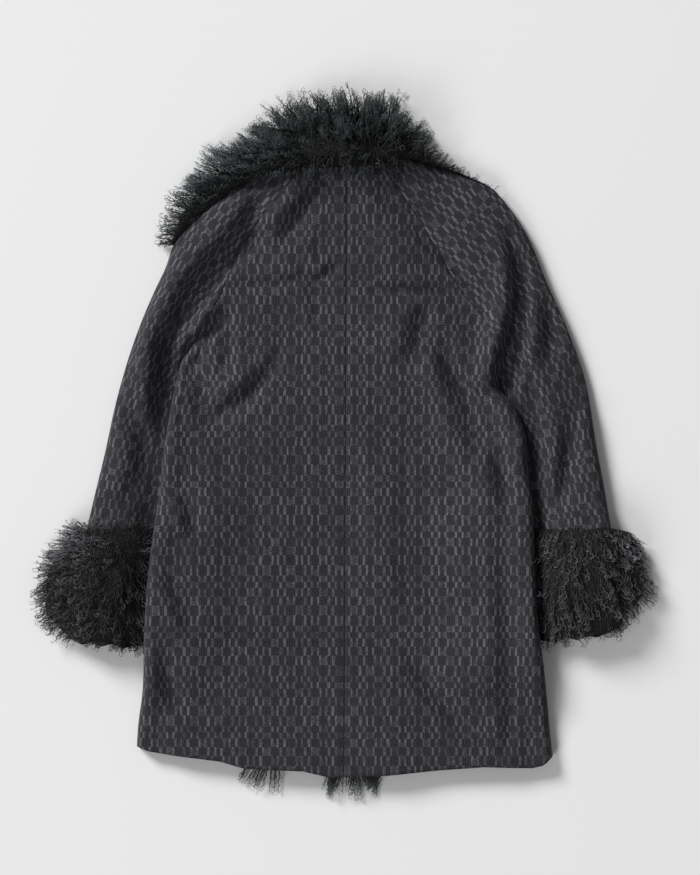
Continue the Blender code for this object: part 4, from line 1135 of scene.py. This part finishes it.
# Line that the collar is sewn to, from its left end over the neck to its right end
COLLAR_END = (218, 346)
collar_line = np.array(
    OUTLINE["left"]["overarm"][4::-1]
    + (OUTLINE["left"]["raglan"][-1], (CENTRE_BACK_X[1], CENTRE_BACK_Y[1]), OUTLINE["right"]["raglan"][-1])
    + OUTLINE["right"]["overarm"][:4] + (COLLAR_END,), float,
)
# Collar fur at parts of the collar's length: how far the undercoat reaches outward and over
# the cloth, the way the curls lie, in degrees, and how many stand by the cloth
COLLAR_FUR = (
    (0.00, 0.56, 0.15, 184.0, 0.50),
    (0.10, 0.58, 0.15, 176.0, 0.40),
    (0.24, 0.60, 0.15, 164.0, 0.35),
    (0.34, 0.62, 0.25, 156.0, 0.40),
    (0.42, 0.64, 0.36, 142.0, 0.55),
    (0.55, 0.66, 0.40, 116.0, 0.55),
    (0.62, 0.60, 0.34, 88.0, 0.55),
    (0.68, 0.42, 0.20, 68.0, 0.50),
    (0.73, 0.28, 0.10, 54.0, 0.45),
    (0.78, 0.16, 0.08, 42.0, 0.36),
    (0.84, 0.10, 0.08, 36.0, 0.26),
    (0.90, 0.03, 0.08, 34.0, 0.14),
    (1.00, 0.00, 0.08, 30.0, 0.08),
)
# Way outward at parts of its length, in degrees
COLLAR_TURN = ((0.0, 150.0), (0.25, 130.0), (0.5, 96.0), (0.72, 72.0), (0.85, 62.0), (1.0, 50.0))
COLLAR_LOW = 0.84
SLIM_FROM, SLIM_RUN, SLIM_Z = 0.76, 0.10, 9.0
NECK, NECK_SOFT, NECK_COVER = (0.36, 0.74), 0.05, 0.26
TUFT_PART, TUFT_WIDE, TUFT_TURN, TUFT_LONG = 0.680, 0.015, 28.0, 0.85
SHORT_RIGHT = ((0.64, 0.08, 0.56), (0.72, 0.06, 0.70))
CURL_LONG = 0.036


def column(table, share, which):
    return np.interp(share, [row[0] for row in table], [row[which] for row in table])


def collar_skin():
    """Undercoat of the collar, drawn in toward the line that it is sewn to."""
    skin = merged_copy("collar", black_wool)
    co = places(skin.data)
    _, along, _, length = nearest_on(collar_line, co[:, 0], co[:, 1])
    run = np.concatenate(([0.0], np.cumsum(np.linalg.norm(np.diff(collar_line, axis=0), axis=1))))
    foot = np.stack([np.interp(along, run, collar_line[:, i]) for i in (0, 1)], axis=1)
    away = co[:, :2] - foot
    part = along / length
    turn = np.radians(column(COLLAR_TURN, part, 1))
    beyond = away[:, 0] * np.cos(turn) + away[:, 1] * np.sin(turn)
    spots = np.linspace(0.0, 1.0, 31)
    limit = np.interp(part, spots, [beyond[np.abs(part - spot) < 0.035].max() for spot in spots])
    keep = mix(column(COLLAR_FUR, part, 2), column(COLLAR_FUR, part, 1), past(beyond, -1.0, 4.0))
    co[:, :2] = foot + away * keep[:, None]
    slim = 1.0 - 0.5 * past(part, SLIM_FROM, SLIM_RUN)
    co[:, 2] = np.maximum(co[:, 2] * COLLAR_LOW * slim + (1.0 - slim) * SLIM_Z, FLOOR_GAP)
    shrunk = beyond * keep
    wander = 6.0 * np.sin(part * 47.0) + 4.0 * np.sin(part * 113.0 + 1.0)
    inward = 1.0 - past(shrunk + wander, -2.0, 22.0)
    over_neck = past(part, NECK[0], NECK_SOFT) * before(part, NECK[1], NECK_SOFT)
    tuft = hump(part, TUFT_PART, TUFT_WIDE) * past(shrunk, 8.0, 8.0)
    hang = inward * over_neck * (1.0 - tuft)
    angle = np.radians(column(COLLAR_FUR, part, 3) + TUFT_TURN * tuft)
    lean = np.radians(-90.0 + 24.0 * np.sin(part * 61.0))
    lay = (mix(np.cos(angle), np.cos(lean), hang), mix(np.sin(angle), np.sin(lean), hang))
    room = limit + 2.0
    for start, soft, share in SHORT_RIGHT:
        room = room * mix(1.0, share, past(part, start, soft))
    room = np.maximum(room - shrunk, 8.0) * MM / (CURL_LONG * 0.80)
    far = mix(1.0, 0.22, past(part, 0.80, 0.06))
    cover = mix(column(COLLAR_FUR, part, 4), far, past(shrunk, 9.0, 14.0)) * mix(1.0, NECK_COVER, hang)
    shaped(
        skin.data, co, np.column_stack((*lay, np.zeros(len(co)))),
        reach=np.clip(mix(room, 0.85, hang), 0.22, 0.95) + TUFT_LONG * tuft,
        cover=np.where(co[:, 2] < FLAT_UNDER, UNDER_COVER, cover),
        pale=0.8 * before(part, 0.46, 0.2) * soft_step(shrunk / 30.0),
    )
    return skin


# Cuffs: how far the undercoat is drawn in, where the curls turn round, which way they
# all lean, and where they are palest
CUFF_DRAWN = 9.5
CUFF_WHORL = {"left": (-306.0, -172.0), "right": (326.0, -50.0)}
CUFF_FLOW = {"left": (-0.30, -0.30), "right": (0.05, -0.25)}
CUFF_PALE = {"left": (-386.0, -140.0), "right": (412.0, -140.0)}
PALE_WIDE = 34.0
CUFF_HIDDEN, HIDDEN_COVER = 16.0, 0.06
OFF_SKIN = 0.0002
HOLE_ACROSS = 0.09


def cuff_skin(side):
    """Undercoat of a cuff: the solid, drawn in all round but for its hole."""
    skin = merged_copy(f"cuff_{side.name}", plum_wool)
    mesh = skin.data
    tree = BVHTree.FromPolygons([v.co for v in mesh.vertices], [p.vertices for p in mesh.polygons])
    outside, drawn = np.zeros((2, len(mesh.vertices)))
    for i, vertex in enumerate(mesh.vertices):
        step = vertex.normal * OFF_SKIN
        opposite = tree.ray_cast(vertex.co + step, vertex.normal, HOLE_ACROSS)[0]
        behind = tree.ray_cast(vertex.co - step, -vertex.normal)[3]
        outside[i] = opposite is None
        drawn[i] = min(CUFF_DRAWN, 0.45 * (behind or 0.0) / MM) * outside[i]
    normals = np.array([vertex.normal for vertex in mesh.vertices])
    co = places(mesh) - normals * drawn[:, None]
    co[:, 2] = np.maximum(co[:, 2], FLOOR_GAP)
    x, y, z = co.T
    level = unit(co[:, :2] - np.array(CUFF_WHORL[side.name])) + np.array(CUFF_FLOW[side.name])
    hidden = side.sign * (x_at(side.outline["edge"], y) - x) > CUFF_HIDDEN
    bright = hump(np.linalg.norm(co[:, :2] - np.array(CUFF_PALE[side.name]), axis=1), 0.0, PALE_WIDE)
    slant = 1.0 - np.abs(normals[:, 2])
    cover = np.where(z < FLAT_UNDER, UNDER_COVER + 3.2 * slant, 1.0 + 0.8 * slant + bright)
    edge = 0.15 + 0.35 * past(x, 360.0, 40.0) if side.name == "right" else 0.0
    shaped(
        mesh, co, np.column_stack((level, np.zeros(len(co)))), reach=1.0,
        cover=outside * np.where(hidden, HIDDEN_COVER, cover), pale=1.4 * bright + edge,
    )
    return skin


# Front bands: cuts by the hem that set the tufts apart, the left and right edges of each
# tuft, the way it leans and its share of the strands
TUFT_CUTS = (32.0, 36.0)
TUFT_EDGES = {"left": (-146.0, -122.0, -92.0), "right": (-22.0, 14.0, 48.0)}
TUFT_LEAN = {"left": -0.30, "right": 0.05}
TUFT_COVER = {"left": 1.0, "right": 0.62}


def band_skin(name):
    """Undercoat of a front band, a little clear of the floor and of the front that lies on it."""
    skin = merged_copy(f"front_trim_{name}", black_wool)
    mesh = skin.data
    end = places(mesh)[:, 1].min()
    cuts = [((0.0, (end + above) * MM, 0.0), (0.0, 1.0, 0.0)) for above in TUFT_CUTS]
    cuts += [((x * MM, 0.0, 0.0), (1.0, 0.0, 0.0)) for x in TUFT_EDGES[name]]
    shape = bmesh.new()
    shape.from_mesh(mesh)
    for place, across in cuts:
        every = shape.verts[:] + shape.edges[:] + shape.faces[:]
        bmesh.ops.bisect_plane(shape, geom=every, plane_co=place, plane_no=across)
    bmesh.ops.triangulate(shape, faces=shape.faces[:])
    shape.to_mesh(mesh)
    shape.free()
    co = places(mesh)
    x, y, _ = co.T
    first, _, last = TUFT_EDGES[name]
    tips = (y < end + TUFT_CUTS[0] + 0.5) & (x > first - 0.5) & (x < last + 0.5)
    co[:, 1] = np.maximum(y, hem_y(x) + 2.0)
    co[:, 2] = np.clip(co[:, 2], FLOOR_GAP, BAND_HIGH - 0.8)
    lean = TUFT_LEAN[name] + 0.25 * np.sin(x / 9.0)
    shaped(
        mesh, co, np.column_stack((lean, np.full(len(co), -1.0), np.full(len(co), -0.05))),
        reach=np.where(tips, 1.0, 0.8), cover=np.where(tips, TUFT_COVER[name], 0.0), pale=0.8,
    )
    return skin


def fur_pieces(skin, node, slot_name, parts, **sizes):
    """The undercoat and the curls that grow from it."""
    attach(skin, "root")
    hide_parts(node)
    for part, seed in parts:
        fur = grown(f"{node}_curls{part}", skin, curls, seed=seed, floor=FLOOR, ceiling=CEILING, **sizes)
        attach(fur, "root")
    for extra in ("lay", "reach", "cover", "pale"):
        skin.data.attributes.remove(skin.data.attributes[extra])


fur_pieces(
    collar_skin(), "collar", "collar_fur", (("_a", 4), ("_b", 19)), finish=black_teal,
    strands_per_area=46000.0, locks_per_area=12000.0, steps=17, length=CURL_LONG, thickness=0.00115,
    curl=0.0030, wave=0.0100, stand=0.5, gather=0.55, fall=0.12, stray=3.8,
)
for name, side in SIDES.items():
    fur_pieces(
        cuff_skin(side), f"cuff_{name}", "cuff_fur", (("", 7),), finish=black_plum,
        strands_per_area=34000.0, locks_per_area=13000.0, steps=13, length=0.022, thickness=0.00105,
        curl=0.0026, wave=0.0115, stand=0.45, gather=0.4, fall=0.1, stray=3.0,
    )
    fur_pieces(
        band_skin(name), f"front_trim_{name}", "band_fur", (("", 3),), finish=black_teal,
        strands_per_area=90000.0, locks_per_area=9000.0, steps=14, length=0.034, thickness=0.0012,
        curl=0.0024, wave=0.0110, stand=0.15, gather=0.4, fall=0.1, stray=1.6,
    )


def floor_piece(half):
    mesh = bpy.data.meshes.new("floor")
    corners = [(-half, -half, 0.0), (half, -half, 0.0), (half, half, 0.0), (-half, half, 0.0)]
    mesh.from_pydata(corners, [], [(0, 1, 2, 3)])
    pale = {"Base Color": (0.82, 0.82, 0.82, 1.0), "Roughness": 0.9, "Specular IOR Level": 0.0}
    mesh.materials.append(principled("pale floor", pale)[0])
    in_scene("floor", mesh)


def soft_light(name, place, size, power):
    light = bpy.data.lights.new(name, "AREA")
    light.shape = "DISK"
    light.size = size
    light.energy = power
    lamp = in_scene(name, light)
    lamp.location = place
    lamp.rotation_euler = (-Vector(place)).to_track_quat("-Z", "Y").to_euler()


floor_piece(4.0)
soft_light("high soft light", (-13.0, 13.0, 10.5), 7.5, 4900.0)
soft_light("fill light", (-9.0, -10.0, 8.5), 8.0, 1110.0)
world = bpy.data.worlds.new("studio")
world.use_nodes = True
surround = world.node_tree.nodes["Background"]
surround.inputs["Color"].default_value = (1.0, 1.0, 1.0, 1.0)
surround.inputs["Strength"].default_value = 0.222
bpy.context.scene.world = world
bpy.context.scene.view_settings.view_transform = "Standard"

# Camera straight above, as far to the right as frames the coat, with 1.42 mm to a pixel of the floor
PIXEL = 1.42
PICTURE_HIGH = 875
PICTURE_MOVE = 4.5
CAMERA_HIGH = 5.0
LENS_ABOVE = 0.02
lens = bpy.data.cameras.new("camera")
lens.sensor_fit = "VERTICAL"
lens.sensor_height = 24.0
lens.lens = lens.sensor_height * CAMERA_HIGH / (PICTURE_HIGH * PIXEL * MM)
camera = in_scene("camera", lens)
camera.location = (PICTURE_MOVE * PIXEL * MM, 0.0, CAMERA_HIGH + LENS_ABOVE)
bpy.context.scene.camera = camera
